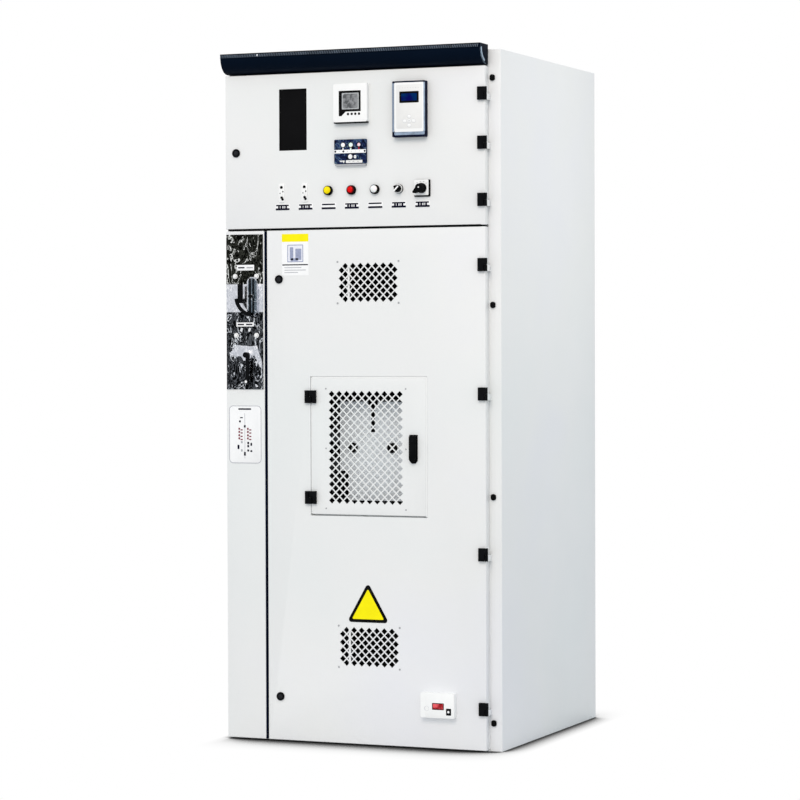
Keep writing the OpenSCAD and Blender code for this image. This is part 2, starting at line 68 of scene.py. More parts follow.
def make_camera():
    data = bpy.data.cameras.new("camera")
    data.lens = FOCAL
    data.sensor_width = 36
    data.clip_end = 200
    camera = bpy.data.objects.new("camera", data)
    bpy.context.scene.collection.objects.link(camera)
    ahead = Vector((-math.sin(YAW) * math.cos(PITCH), math.cos(YAW) * math.cos(PITCH), -math.sin(PITCH)))
    right = Vector((math.cos(YAW), math.sin(YAW), 0))
    up = right.cross(ahead)
    right, up = math.cos(ROLL) * right + math.sin(ROLL) * up, math.cos(ROLL) * up - math.sin(ROLL) * right
    matrix = camera.matrix_world.copy()
    for row in range(3):
        matrix[row][0], matrix[row][1], matrix[row][2] = right[row], up[row], -ahead[row]
        matrix[row][3] = EYE[row]
    camera.matrix_world = matrix
    bpy.context.scene.camera = camera


# ---------------------------------------------------------------- finishes


def rgb(r, g, b):
    """A colour of 0 to 255 per channel, as the linear values that shaders take."""
    return tuple((c / 255 / 12.92) if c <= 10 else ((c / 255 + 0.055) / 1.055) ** 2.4 for c in (r, g, b))


BLACK = {"Specular_IOR_Level": 0.015}


def add_node(tree, kind, values=None, **properties):
    """A shader node; a value is a number or colour for a socket, or the output that feeds it."""
    made = tree.nodes.new(kind)
    for key, value in properties.items():
        setattr(made, key, value)
    for key, value in (values or {}).items():
        if isinstance(value, bpy.types.NodeSocket):
            tree.links.new(value, made.inputs[key])
        else:
            made.inputs[key].default_value = value
    return made


class Finish:
    """A procedural material: one Principled shader fed by noise in object coordinates."""

    def __init__(self, name, **sockets):
        self.material = bpy.data.materials.new(name)
        self.material.use_nodes = True
        self.tree = self.material.node_tree
        self.shader = self.tree.nodes["Principled BSDF"]
        for key, value in sockets.items():
            self.set(key.replace("_", " "), value)
        self.point = self.add("ShaderNodeTexCoord").outputs["Object"]

    def set(self, socket, value):
        self.shader.inputs[socket].default_value = value

    def add(self, kind, values=None, **properties):
        return add_node(self.tree, kind, values, **properties)

    def feed(self, output, socket):
        self.tree.links.new(output, self.shader.inputs[socket])

    def noise(self, scale, detail=3.0, distortion=0.0, stretch=(1, 1, 1), roughness=0.5):
        moved = self.add("ShaderNodeMapping", {"Vector": self.point, "Scale": stretch})
        values = {"Vector": moved.outputs[0], "Scale": scale, "Detail": detail, "Roughness": roughness,
                  "Distortion": distortion}
        return self.add("ShaderNodeTexNoise", values).outputs["Fac"]

    def wave(self, scale, axis="X", distortion=0.0, profile="SIN"):
        values = {"Vector": self.point, "Scale": scale, "Distortion": distortion}
        return self.add("ShaderNodeTexWave", values, bands_direction=axis,
                        wave_profile=profile).outputs["Fac"]

    def ramp(self, fac, stops, smooth=False):
        made = self.add("ShaderNodeValToRGB", {"Fac": fac})
        made.color_ramp.interpolation = "EASE" if smooth else "LINEAR"
        points = made.color_ramp.elements
        for point, (place, colour) in ((points[0], stops[0]), (points[1], stops[-1])):
            point.position = place
            point.color = colour + (1.0,)
        for place, colour in stops[1:-1]:
            points.new(place).color = colour + (1.0,)
        return made.outputs["Color"]

    def mix(self, fac, a, b):
        a, b = (value + (1.0,) if isinstance(value, tuple) else value for value in (a, b))
        return self.add("ShaderNodeMix", {0: fac, 6: a, 7: b}, data_type="RGBA").outputs[2]

    def span(self, fac, low, high, start=0.3, end=0.7):
        values = {"Value": fac, "From Min": start, "From Max": end, "To Min": low, "To Max": high}
        return self.add("ShaderNodeMapRange", values).outputs["Result"]

    def bump(self, height, strength, depth_mm):
        values = {"Height": height, "Strength": strength, "Distance": depth_mm * MM}
        self.feed(self.add("ShaderNodeBump", values).outputs["Normal"], "Normal")


def surface(name, colour, spread=0.04, blotch=6.0, rough=(0.35, 0.5), grain=700.0, depth=0.05, **sockets):
    """A plain moulded, cast or coated surface: slightly uneven colour and gloss, and a fine grain."""
    finish = Finish(name, **sockets)
    cloud = finish.noise(blotch, 4.0)
    dark = tuple(c * (1 - spread) for c in colour)
    light = tuple(min(1.0, c * (1 + spread)) for c in colour)
    finish.feed(finish.ramp(cloud, [(0.3, dark), (0.7, light)]), "Base Color")
    finish.feed(finish.span(finish.noise(blotch * 9, 5.0), *rough), "Roughness")
    finish.bump(finish.noise(grain, 2.0), 0.6, depth)
    return finish.material


COAT = [(0.32, rgb(231, 234, 233)), (0.5, rgb(234, 235, 234)), (0.68, rgb(232, 233, 236))]


def powder_coat():
    """Pale grey powder coat: orange peel at about a millimetre, faint clouds of tint and gloss."""
    finish = Finish("powder_coat_pale_grey")
    finish.set("Specular IOR Level", 0.35)
    clouds = finish.noise(1.3, 3.0)
    tint = finish.ramp(clouds, COAT)
    specks = finish.noise(260.0, 2.0)
    finish.feed(finish.mix(finish.span(specks, 0.0, 0.05), tint, rgb(205, 208, 210)), "Base Color")
    finish.feed(finish.span(finish.noise(7.0, 6.0), 0.34, 0.46), "Roughness")
    finish.bump(finish.noise(850.0, 2.0, roughness=0.35), 0.35, 0.06)
    return finish.material


def coat_and_painted_inner_shade():
    """The rear covers' sheet: powder coat outside, and dark grey on the side that faces into the cabinet,
    as painted shade of the interior.
    """
    finish = Finish("rear_sheet_coat_and_painted_inner_shade")
    finish.set("Specular IOR Level", 0.3)
    clouds = finish.noise(1.3, 3.0)
    coat = finish.ramp(clouds, COAT)
    # Dark grey for the inside face: painted shade.
    inner_shade = finish.ramp(clouds, [(0.3, rgb(70, 72, 74)), (0.7, rgb(86, 88, 90))])
    normal = finish.add("ShaderNodeSeparateXYZ",
                        {0: finish.add("ShaderNodeNewGeometry").outputs["True Normal"]})
    inside = finish.add("ShaderNodeMath", {0: normal.outputs["Y"], 1: -0.5},
                        operation="LESS_THAN").outputs[0]
    finish.feed(finish.mix(inside, coat, inner_shade), "Base Color")
    finish.feed(finish.span(finish.noise(7.0, 6.0), 0.36, 0.5), "Roughness")
    finish.bump(finish.noise(850.0, 2.0, roughness=0.35), 0.35, 0.06)
    return finish.material


def moulding_with_painted_reflections(name, dark, mid, light, patch):
    """A dark moulding with paler patches of painted reflection, as of a glossy surface that catches the
    room in places.
    """
    finish = Finish(name, **BLACK)
    cloud = finish.noise(patch, 4.0, 0.6)
    finish.feed(finish.ramp(cloud, [(0.4, dark), (0.47, mid), (0.53, dark), (0.57, light), (0.64, mid)]),
                "Base Color")
    finish.feed(finish.span(finish.noise(patch * 4, 4.0), 0.3, 0.45), "Roughness")
    finish.bump(finish.noise(600.0, 2.0), 0.5, 0.05)
    return finish.material


def polished_with_painted_reflections(name, dark, mid, bright, seed, veil=(0.5, 0.68), lines=1.0):
    """A polished plate with painted reflections in its colour: the bent streaks of a mirror that is not
    quite flat.
    """
    finish = Finish(name, Metallic=1.0)
    shift = finish.add("ShaderNodeVectorMath", {0: finish.point, 1: seed}, operation="ADD").outputs[0]
    finish.point = shift
    folds = finish.noise(15.0, 3.5, 2.6, (1.5, 1.0, 0.75), 0.6)
    painted_reflection_streaks = finish.ramp(folds, [(0.0, dark), (0.40, dark), (0.455, mid), (0.47, dark), (0.53, dark),
                                  (0.56, mid), (0.585, tuple(lines * c for c in bright)), (0.60, dark),
                                  (0.66, dark), (0.70, mid), (0.74, dark)])
    haze = finish.noise(42.0, 6.0, 1.2, (1.0, 1.0, 0.7), 0.65)
    cover = finish.ramp(haze, [(veil[0], (0, 0, 0)), (veil[1], (0.4, 0.4, 0.4)), (0.8, (0.75, 0.75, 0.75))])
    finish.feed(finish.mix(cover, painted_reflection_streaks, mid), "Base Color")
    finish.feed(finish.span(haze, 0.1, 0.28), "Roughness")
    finish.bump(finish.noise(30.0, 2.0, 1.0), 0.4, 0.6)
    return finish.material


def brushed(name, dark, light, rough=(0.2, 0.34), along=(1.0, 1.0, 22.0), scale=45.0):
    """Plated steel with fine brush lines."""
    finish = Finish(name, Metallic=1.0)
    lines = finish.noise(scale, 5.0, 0.2, along)
    finish.feed(finish.ramp(lines, [(0.3, dark), (0.7, light)]), "Base Color")
    finish.feed(finish.span(finish.noise(60.0, 4.0), *rough), "Roughness")
    finish.bump(lines, 0.25, 0.05)
    return finish.material


def screen(name, low, high, patch=11.0, cell=1.1):
    """A display: a grid of fine cells over a colour that drifts in patches."""
    finish = Finish(name, **BLACK)
    drift = finish.noise(patch, 3.0, 0.4)
    pixel = finish.mix(0.5, finish.wave(6.2832 / (cell * MM) / 20, "X"),
                       finish.wave(6.2832 / (cell * MM) / 20, "Z"))
    base = finish.ramp(drift, [(0.4, low), (0.6, high)])
    finish.feed(finish.mix(finish.span(pixel, 0.0, 0.12, 0.2, 0.8), base, tuple(c * 0.55 for c in low)),
                "Base Color")
    finish.feed(finish.span(drift, 0.25, 0.35), "Roughness")
    return finish.material


def lens(name, rim, core, depth=0.25):
    """A ribbed coloured lens, deeper in colour where it is thick."""
    finish = Finish(name, Specular_IOR_Level=0.12)
    finish.set("Subsurface Weight", depth)
    finish.set("Subsurface Radius", (0.004, 0.003, 0.002))
    rings = finish.noise(420.0, 2.0)
    finish.feed(finish.ramp(finish.noise(48.0, 2.0), [(0.38, rim), (0.62, core)], True), "Base Color")
    finish.feed(finish.span(rings, 0.12, 0.3), "Roughness")
    finish.bump(rings, 0.3, 0.08)
    return finish.material


PAINT = powder_coat()
F = {
    "barrier": surface("white_barrier_sheet", rgb(244, 249, 254), 0.03, 9.0, (0.35, 0.5), 500.0, 0.05),
    "zinc": brushed("zinc_plate", rgb(150, 154, 160), rgb(205, 207, 212), (0.28, 0.45), (1, 1, 1), 70.0),
    "dark_zinc": surface("black_coated_zinc", rgb(17, 18, 20), 0.3, 40.0, (0.32, 0.5), 900.0, 0.05,
                         **BLACK),
    "navy": surface("navy_paint", rgb(5, 15, 29), 0.2, 3.0, (0.38, 0.5), 500.0, 0.03, **BLACK),
    # Pale blue-grey for a painted highlight on the navy header's rounded right end.
    "navy_painted_highlight": surface("navy_painted_edge_highlight", rgb(150, 172, 192), 0.25, 30.0, (0.25, 0.4), 500.0, 0.03),
    "dark_seal_and_gap_shade": surface("dark_blue_seal_and_gap_shade", rgb(7, 16, 40), 0.3, 40.0, (0.5, 0.7), 500.0, 0.08, **BLACK),
    "black": surface("black_plastic", rgb(14, 15, 16), 0.3, 30.0, (0.36, 0.52), 800.0, 0.06, **BLACK),
    "black_gloss": surface("black_acrylic", rgb(17, 17, 18), 0.12, 14.0, (0.25, 0.35), 90.0, 0.02, **BLACK),
    "rubber": surface("black_rubber", rgb(20, 20, 21), 0.2, 60.0, (0.6, 0.8), 500.0, 0.12, **BLACK),
    "white": surface("white_plastic", rgb(244, 245, 244), 0.012, 20.0, (0.3, 0.42), 900.0, 0.03),
    "label": surface("white_label_film", rgb(246, 247, 247), 0.015, 30.0, (0.4, 0.55), 600.0, 0.02),
    "print": surface("dark_print", rgb(24, 24, 40), 0.3, 300.0, (0.45, 0.6), 900.0, 0.02, **BLACK),
    "print_grey": surface("grey_print", rgb(168, 170, 174), 0.12, 300.0, (0.45, 0.6), 900.0, 0.02),
    "print_red": surface("red_print", rgb(120, 30, 52), 0.2, 300.0, (0.45, 0.6), 900.0, 0.02),
    "relay_blue": surface("relay_frame_plastic", rgb(170, 190, 216), 0.08, 25.0, (0.28, 0.4), 700.0, 0.05),
    # A darker copy of the relay frame's blue: painted shade.
    "relay_frame_painted_shade": surface("relay_sill_plastic", rgb(140, 158, 180), 0.3, 45.0, (0.3, 0.45), 700.0, 0.05),
    "panel": surface("pale_warm_panel", rgb(233, 233, 231), 0.02, 25.0, (0.38, 0.5), 700.0, 0.04),
    "relay_navy": surface("relay_side_plastic", rgb(16, 22, 44), 0.3, 30.0, (0.3, 0.45), 700.0, 0.05,
                          **BLACK),
    # The presence indicator's blue moulding, with pale patches of painted reflection.
    "indicator": moulding_with_painted_reflections("indicator_blue_plastic", rgb(12, 16, 34), rgb(34, 48, 92), rgb(92, 118, 140),
                         85.0),
    "sign_yellow": surface("yellow_film", rgb(252, 238, 0), 0.05, 26.0, (0.35, 0.5), 600.0, 0.02,
                           Specular_IOR_Level=0.15),
    "sign_tint": surface("tinted_film", rgb(232, 234, 242), 0.03, 60.0, (0.4, 0.55), 600.0, 0.02),
    "sign_blue": surface("blue_grey_print", rgb(150, 158, 186), 0.14, 160.0, (0.45, 0.6), 700.0, 0.02),
    "lens_white": lens("white_lens", rgb(232, 236, 238), rgb(250, 250, 250)),
    "lens_yellow": lens("yellow_lens", rgb(252, 232, 0), rgb(250, 208, 0), 0.1),
    "lens_red": lens("red_lens", rgb(186, 0, 2), rgb(228, 4, 6), 0.1),
    "lens_deep": lens("deep_red_lens", rgb(112, 0, 2), rgb(140, 0, 2), 0.05),
    "lens_green": lens("green_white_lens", rgb(205, 240, 222), rgb(238, 252, 246)),
    "lens_pink": lens("pink_white_lens", rgb(244, 206, 216), rgb(252, 238, 240)),
    "lcd_grey": screen("grey_display", rgb(92, 94, 96), rgb(148, 150, 152), 75.0),
    "lcd_rim": surface("grey_display_rim", rgb(176, 180, 182), 0.12, 120.0, (0.3, 0.45), 700.0, 0.02),
    "lcd_blue": screen("blue_display", rgb(6, 10, 86), rgb(0, 44, 96), 34.0),
    # The red window's pale pink patches are painted highlights.
    "window_red": lens("red_window", rgb(150, 10, 22), rgb(236, 96, 104)),
    # The mechanism's mirror plates and chrome carry their reflections painted into their colour.
    "mirror_high": polished_with_painted_reflections("mirror_plate_high", rgb(8, 8, 7), rgb(62, 64, 58), rgb(240, 244, 240),
                            (0.0, 0.0, 0.0),
                            (0.6, 0.78), 1.5),
    "mirror_low": polished_with_painted_reflections("mirror_plate_low", rgb(8, 9, 11), rgb(96, 100, 106), rgb(224, 230, 240),
                           (3.1, 0.0, 1.7),
                           (0.57, 0.74), 1.5),
    "chrome": polished_with_painted_reflections("bright_chrome", rgb(188, 192, 200), rgb(226, 228, 236), rgb(252, 252, 254),
                       (1.3, 0.0, 0.4)),
    "chrome_dim": polished_with_painted_reflections("grey_chrome", rgb(84, 96, 106), rgb(120, 132, 142), rgb(226, 232, 240),
                           (5.3, 0.0, 2.4)),
    "steel": brushed("bright_steel", rgb(196, 200, 206), rgb(244, 246, 248), (0.16, 0.26)),
    "ribbed": surface("ribbed_blue_grey_trim", rgb(88, 100, 114), 0.4, 40.0, (0.3, 0.45), 700.0, 0.05),
    # Zinc-coated sheet for the inside, darker than the zinc plate: real zinc coat and painted shade of the
    # cabinet's interior.
    "inner_sheet_and_shade": brushed("zinc_coated_inner_sheet", rgb(88, 92, 96), rgb(132, 136, 142), (0.4, 0.55),
                           (1, 1, 1), 30.0),
    "rear_sheet": coat_and_painted_inner_shade(),
    "zinc_dark": surface("dark_lock_core", rgb(44, 45, 48), 0.25, 60.0, (0.3, 0.45), 900.0, 0.04, **BLACK),
    "print_faint": surface("faint_print", rgb(206, 207, 210), 0.05, 200.0, (0.45, 0.6), 900.0, 0.02),
    "print_pale": surface("pale_print", rgb(176, 178, 184), 0.1, 200.0, (0.45, 0.6), 900.0, 0.02),
    "painted_screw": surface("painted_screw", rgb(176, 178, 180), 0.15, 200.0, (0.35, 0.5), 900.0, 0.04),
    "frame_red": surface("dark_red_frame", rgb(64, 12, 20), 0.3, 200.0, (0.3, 0.45), 900.0, 0.02, **BLACK),
}


# ---------------------------------------------------------------- shapes


def rounded(width, height, radius, cu=0.0, cv=0.0, steps=6):
    """Outline of a rectangle with round corners, about its middle."""
    points = []
    for quarter, (su, sv) in enumerate(((1, 1), (-1, 1), (-1, -1), (1, -1))):
        for i in range(steps + 1):
            a = math.radians(90 * (quarter + i / steps))
            points.append((cu + su * (width / 2 - radius) + radius * math.cos(a),
                           cv + sv * (height / 2 - radius) + radius * math.sin(a)))
    return points


def disc(radius, cu=0.0, cv=0.0, steps=40, start=0.0):
    turns = [start + 2 * math.pi * i / steps for i in range(steps)]
    return [(cu + radius * math.cos(a), cv + radius * math.sin(a)) for a in turns]


def stadium(width, height, cu=0.0, cv=0.0):
    return rounded(width, height, min(width, height) / 2 - 0.001, cu, cv, 14)


def round_corners(corners, radius, steps=8):
    """Outline of a polygon, anticlockwise, with each corner rounded by an arc."""
    points = []
    count = len(corners)
    for i, corner in enumerate(corners):
        here = Vector(corner)
        a = (Vector(corners[i - 1]) - here).normalized()
        b = (Vector(corners[(i + 1) % count]) - here).normalized()
        half = a.angle(b) / 2
        middle = here + (a + b).normalized() * radius / math.sin(half)
        run = radius / math.tan(half)
        start, end = here + a * run - middle, here + b * run - middle
        turn = start.angle_signed(end)
        first = math.atan2(start.y, start.x)
        for k in range(steps + 1):
            angle = first - turn * k / steps
            points.append((middle.x + radius * math.cos(angle), middle.y + radius * math.sin(angle)))
    return points


class Piece:
    """A detailed piece drawn on a face. Its parts are solids, each with its own finish."""

    def __init__(self, name, origin, back=False):
        self.name = name
        self.origin = origin
        self.way = -1 if back else 1
        self.mesh = bmesh.new()
        self.materials = []

    def take(self, part, material):
        """Adds a finished part's faces, in one material."""
        if material not in self.materials:
            self.materials.append(material)
        index = self.materials.index(material)
        bmesh.ops.recalc_face_normals(part, faces=part.faces)
        for face in part.faces:
            face.material_index = index
        data = bpy.data.meshes.new("part")
        part.to_mesh(data)
        part.free()
        self.mesh.from_mesh(data)
        bpy.data.meshes.remove(data)

    def plate(self, outline, w0, w1, material, holes=(), bevel=0.0, segments=2):
        """A flat piece from w0 to w1, with holes right through it and its front edge rounded."""
        part = bmesh.new()
        caps = []
        for w in (w0, w1):
            rings = []
            for points in [outline, *holes]:
                verts = [part.verts.new((u, v, w)) for u, v in points]
                rings.append([part.edges.new((verts[i - 1], verts[i])) for i in range(len(verts))])
            if holes:
                edges = [e for ring in rings for e in ring]
                bmesh.ops.triangle_fill(part, use_beauty=True, edges=edges, normal=(0, 0, 1))
            else:
                part.faces.new([e.verts[0] for e in rings[0]])
            caps.append(rings)
        for low, high in zip(*caps):
            for a, b in zip(low, high):
                part.faces.new((a.verts[0], a.verts[1], b.verts[1], b.verts[0]))
        if bevel:
            bmesh.ops.bevel(part, geom=caps[1][0], offset=bevel, segments=segments, profile=0.5,
                            affect="EDGES")
        self.take(part, material)

    def block(self, u, v, w, material, bevel=0.0):
        """A plain block by its limits, with its front edges rounded."""
        self.plate([(u[0], v[0]), (u[1], v[0]), (u[1], v[1]), (u[0], v[1])], w[0], w[1], material,
                   bevel=bevel)

    def turned(self, profile, material, cu=0.0, cv=0.0, steps=40):
        """A turned piece about w, by its profile of (radius, w)."""
        part = bmesh.new()
        rings = []
        for radius, w in profile:
            if radius < 1e-6:
                rings.append([part.verts.new((cu, cv, w))])
            else:
                rings.append([part.verts.new((u, v, w)) for u, v in disc(radius, cu, cv, steps)])
        for a, b in zip(rings, rings[1:]):
            for i in range(steps):
                ends = [a[i % len(a)], a[(i + 1) % len(a)], b[(i + 1) % len(b)], b[i % len(b)]]
                corners = list(dict.fromkeys(ends))
                if len(corners) > 2:
                    part.faces.new(corners)
        self.take(part, material)

    def screw(self, cu, cv, w, radius, material, turn=0.0):
        """A pan head with a cross recess, standing on w."""
        height = radius * 0.55
        arm, waist = radius * 0.5, radius * 0.13
        cross = [(arm, -waist), (arm, waist), (waist, waist), (waist, arm), (-waist, arm), (-waist, waist),
                 (-arm, waist), (-arm, -waist), (-waist, -waist), (-waist, -arm), (waist, -arm), (waist,
                                                                                                  -waist)]
        c, s = math.cos(turn), math.sin(turn)
        cross = [(cu + u * c - v * s, cv + u * s + v * c) for u, v in cross]
        self.turned([(radius, w), (radius, w + height * 0.3), (radius * 0.9, w + height * 0.75),
                     (radius * 0.66, w + height)], material, cu, cv, 24)
        part = bmesh.new()
        top = w + height
        rings = []
        for points in (disc(radius * 0.66, cu, cv, 24), cross):
            verts = [part.verts.new((u, v, top)) for u, v in points]
            rings.append([part.edges.new((verts[i - 1], verts[i])) for i in range(len(verts))])
        bmesh.ops.triangle_fill(part, use_beauty=True, edges=rings[0] + rings[1], normal=(0, 0, 1))
        low = [part.verts.new((u, v, top - height * 0.5)) for u, v in cross]
        high = [e.verts[1] for e in rings[1]]
        for i in range(len(low)):
            part.faces.new((high[i - 1], high[i], low[i], low[i - 1]))
        part.faces.new(low)
        self.take(part, material)

    def done(self, body, replaces=()):
        data = bpy.data.meshes.new(self.name)
        for vert in self.mesh.verts:
            u, v, w = vert.co
            vert.co = self.origin + Vector((self.way * u, -self.way * w, v)) * MM
        shade(self.mesh)
        self.mesh.to_mesh(data)
        self.mesh.free()
        for material in self.materials:
            data.materials.append(material)
        made = bpy.data.objects.new(self.name, data)
        bpy.context.scene.collection.objects.link(made)
        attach(made, body)
        if replaces:
            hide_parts(*replaces)
        return made

    def join(self, node):
        """Finish the piece as an addition to a CAD node."""
        self.done(BODY[node])

    def replace(self, node):
        """Finish the piece as what is shown in a CAD node's place."""
        self.done(BODY[node], [node])


def shade(mesh, limit=32.0):
    """Smooth faces, with sharp edges where the surface turns by more than the limit."""
    for face in mesh.faces:
        face.smooth = True
    for edge in mesh.edges:
        edge.smooth = len(edge.link_faces) == 2 and edge.calc_face_angle(0.0) < math.radians(limit)


def front(node):
    """The middle of a node's front, where a face's u, v and w are 0."""
    low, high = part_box(node)
    return Vector(((low.x + high.x) / 2, low.y, (low.z + high.z) / 2))


def size(node):
    low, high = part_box(node)
    return (high - low) / MM


def soften(node, material, radius, outer=True, segments=3, other=None):
    """A copy of a CAD node with its edges rounded, which is shown in its place.

    other is a second material with a test that picks its faces.
    """
    mesh = bmesh.new()
    mesh.from_mesh(NODES[node].data)
    bmesh.ops.remove_doubles(mesh, verts=mesh.verts, dist=1e-5)
    bmesh.ops.dissolve_limit(mesh, angle_limit=math.radians(1), verts=mesh.verts, edges=mesh.edges)
    low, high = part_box(node)

    def sides(vert):
        return {(axis, k) for axis in range(3) for k, limit in enumerate((low, high))
                if abs(vert.co[axis] - limit[axis]) < 1e-5}

    if outer:
        edges = [e for e in mesh.edges if len(sides(e.verts[0]) & sides(e.verts[1])) >= 2]
    else:
        edges = [e for e in mesh.edges if e.is_convex and e.calc_face_angle(0.0) > math.radians(40)]
    bmesh.ops.bevel(mesh, geom=edges, offset=radius * MM, segments=segments, profile=0.5, affect="EDGES",
                    clamp_overlap=True)
    shade(mesh)
    data = bpy.data.meshes.new(node + "_softened")
    if other:
        for face in mesh.faces:
            face.material_index = 1 if other[1](face) else 0
    mesh.to_mesh(data)
    mesh.free()
    data.materials.append(material)
    if other:
        data.materials.append(other[0])
    made = bpy.data.objects.new(node + "_softened", data)
    bpy.context.scene.collection.objects.link(made)
    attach(made, BODY[node])
    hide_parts(node)
    return made


def dress(material, *names):
    """Gives CAD nodes their finish."""
    for name in names:
        slots = NODES[name].data.materials
        slots.clear()
        slots.append(material)


# ---------------------------------------------------------------- the cabinet


def make_shell():
    dress(PAINT, "base_frame", "roof_panel", "left_side_sheet", "right_side_sheet",
          "door_stiffeners", "vent_grilles", "hatch_screen")
    dress(F["inner_sheet_and_shade"], "uprights", "cross_rails", "inner_partitions")
    dress(F["rear_sheet"], "rear_covers")
    dress(F["zinc"], "floor_plate", "lock_keepers")
    # The seal strips behind the door gaps are dark blue: a seal, and painted shade in the gaps.
    dress(F["dark_seal_and_gap_shade"], "door_seal")
    for node in ("end_cover", "column_cover", "instrument_door", "main_door", "hatch"):
        soften(node, PAINT, 1.6)
    sheet_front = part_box("inner_barrier")[1].y - 0.0025
    soften("inner_barrier", F["barrier"], 0.5, True, 1,
           (F["rubber"], lambda face: face.calc_center_median().y < sheet_front))
    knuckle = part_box("frame_hinge_leaves")[0].y + 0.011
    soften("frame_hinge_leaves", F["dark_zinc"], 0.8, False, 2,
           (PAINT, lambda face: face.calc_center_median().y > knuckle))
    for node in ("instrument_door_leaves", "main_door_leaves", "hatch_leaves"):
        soften(node, F["dark_zinc"], 0.8, outer=False, segments=2)
    soften("end_cover_plugs", F["black"], 1.5, outer=False)


def make_header():
    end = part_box("header")[1].x - 0.0062
    front_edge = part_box("header")[0].y + 0.05
    # The rounded faces at the header's right end take a pale blue-grey: a painted highlight.
    soften("header", F["navy"], 6.0, False, 4,
           (F["navy_painted_highlight"], lambda face: face.calc_center_median().x > end and 0.2 < face.normal.x < 0.97
            and face.calc_center_median().y < front_edge and face.normal.z < 0.5))
    low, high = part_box("header_trim")
    width = (high.x - low.x) / MM
    height = (high.z - low.z) / MM
    piece = Piece("header_ribbed_trim", Vector((low.x, high.y, low.z)))
    piece.block((0, width), (0, height), (0, 0.5), F["navy"])
    piece.block((0, width), (height - 2.6, height), (0.5, 2.0), F["black"], 0.4)
    piece.block((0, width), (0, 1.4), (0.5, 1.6), F["navy"], 0.3)
    step = 6.0
    for i in range(int(width / step)):
        u = (i + 0.5) * step
        piece.plate([(u - 2.6, 1.6), (u - 0.2, 1.6), (u + 2.6, height - 2.8), (u + 0.2, height - 2.8)],
                    0.4, 1.8,
                    F["ribbed"], bevel=0.5)
    # The screws are alike. The first is in bright steel and the others in dark: a painted glint on the
    # first.
    for u in (133, 463, 803):
        piece.screw(u, height / 2 - 0.5, 0.1, 3.4, F["steel" if u < 200 else "zinc_dark"], u)
    piece.replace("header_trim")


def make_header_end_highlight():
    """A painted highlight: a pale band along the rounded edge of the header's right end."""
    low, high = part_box("header")
    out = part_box("header_trim")[1].y
    face = high.x + 0.0003
    radius = 0.05
    middle = Vector((face, out + radius, low.z + radius))
    corners = [(0.0, high.z - middle.z - 0.012)]
    corners += [(math.pi * k / 40, None) for k in range(17)]
    points = []
    for inset in (0.004, 0.012):
        for angle, lift in corners:
            across = radius - inset
            points.append(middle + Vector((0, -across * math.cos(angle),
                                           lift or -across * math.sin(angle))))
    count = len(corners)
    faces = [(k, k + 1, count + k + 1, count + k) for k in range(count - 1)]
    mesh = bpy.data.meshes.new("header_end_painted_highlight")
    mesh.from_pydata(points, [], faces)
    mesh.materials.append(F["navy_painted_highlight"])
    band = bpy.data.objects.new("header_end_painted_highlight", mesh)
    bpy.context.scene.collection.objects.link(band)
    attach(band, "cabinet")


def make_lock(node):
    """A ring and a three-sided key stud on a lock's head."""
    low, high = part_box(node)
    radius = (high.x - low.x) / 2
    piece = Piece(node + "_face", Vector((low.x + radius, low.y, high.z - radius)))
    radius /= MM
    piece.turned([(radius - 0.2, -0.4), (radius - 0.6, 0.7), (radius - 2.6, 1.0), (radius - 3.4, 0.2),
                  (8.2, 0.05),
                  (7.6, -0.3)], F["dark_zinc"])
    piece.turned([(7.6, -0.3), (6.8, 0.25), (0, 0.3)], F["zinc_dark"])
    piece.plate(disc(4.2, steps=3, start=math.pi / 6), 0.2, 2.4, F["zinc_dark"], bevel=0.4)
    piece.join(node)


# ---------------------------------------------------------------- the instrument door


def back_part(piece, node, rim_u, rim_v, out):
    """The black housing behind the door of a device whose face stands out by out."""
    width, depth, height = size(node)
    half_u, half_v = width / 2 - rim_u, height / 2 - rim_v
    piece.block((-half_u, half_u), (-half_v, half_v), (-depth, -out - 0.5), F["black"], 1)


def make_window():
    dress(F["black_gloss"], "window_plate")
    width, _, height = size("window_plate")
    width, height = width - 20, height - 20
    piece = Piece("window_gasket", front("window_plate"))
    piece.plate(rounded(width - 0.4, height - 0.4, 2.0), 0.0, 2.6, F["rubber"],
                [rounded(width - 7, height - 7, 2.0)], 0.6)
    piece.join("window_plate")


def make_meter():
    width, _, height = size("power_meter")
    out = 18.0
    lcd = (1.2, 7.0)
    piece = Piece("power_meter_detail", front("power_meter"))
    back_part(piece, "power_meter", 15, 18, out)
    # The white bezel stops short of its foot, and a black strip along the foot stands for the meter's
    # shadow: painted shadow.
    piece.plate(rounded(width, height - 4, 4, 0, 2), -out, -1.0, F["white"], bevel=2.4, segments=3)
    piece.plate(rounded(width - 3, 5, 1, 0, -height / 2 + 2.6), -out, -1.6, F["black"], bevel=0.5)
    piece.plate([(-39, 40), (-39, -40), (-30, -40), (-20, -30.5), (-15, -26), (36.8, -26), (36.8, 40)],
                -1.2, -0.1,
                F["black_gloss"], [rounded(59.6, 53, 2, *lcd)], 0.5)
    piece.plate(rounded(60.5, 54, 1, *lcd), -1.2, -0.5, F["lcd_grey"])
    piece.plate(rounded(57.5, 51, 3, *lcd), -0.6, -0.35, F["lcd_rim"], [rounded(52, 45.5, 5, *lcd)])
    for u in (-7.1, 5.7, 18.2, 31.0):
        piece.turned([(4.0, -1.2), (4.0, -0.6), (3.3, -0.2), (0, -0.1)], F["black"], u, -34.0, 24)
    piece.replace("power_meter")


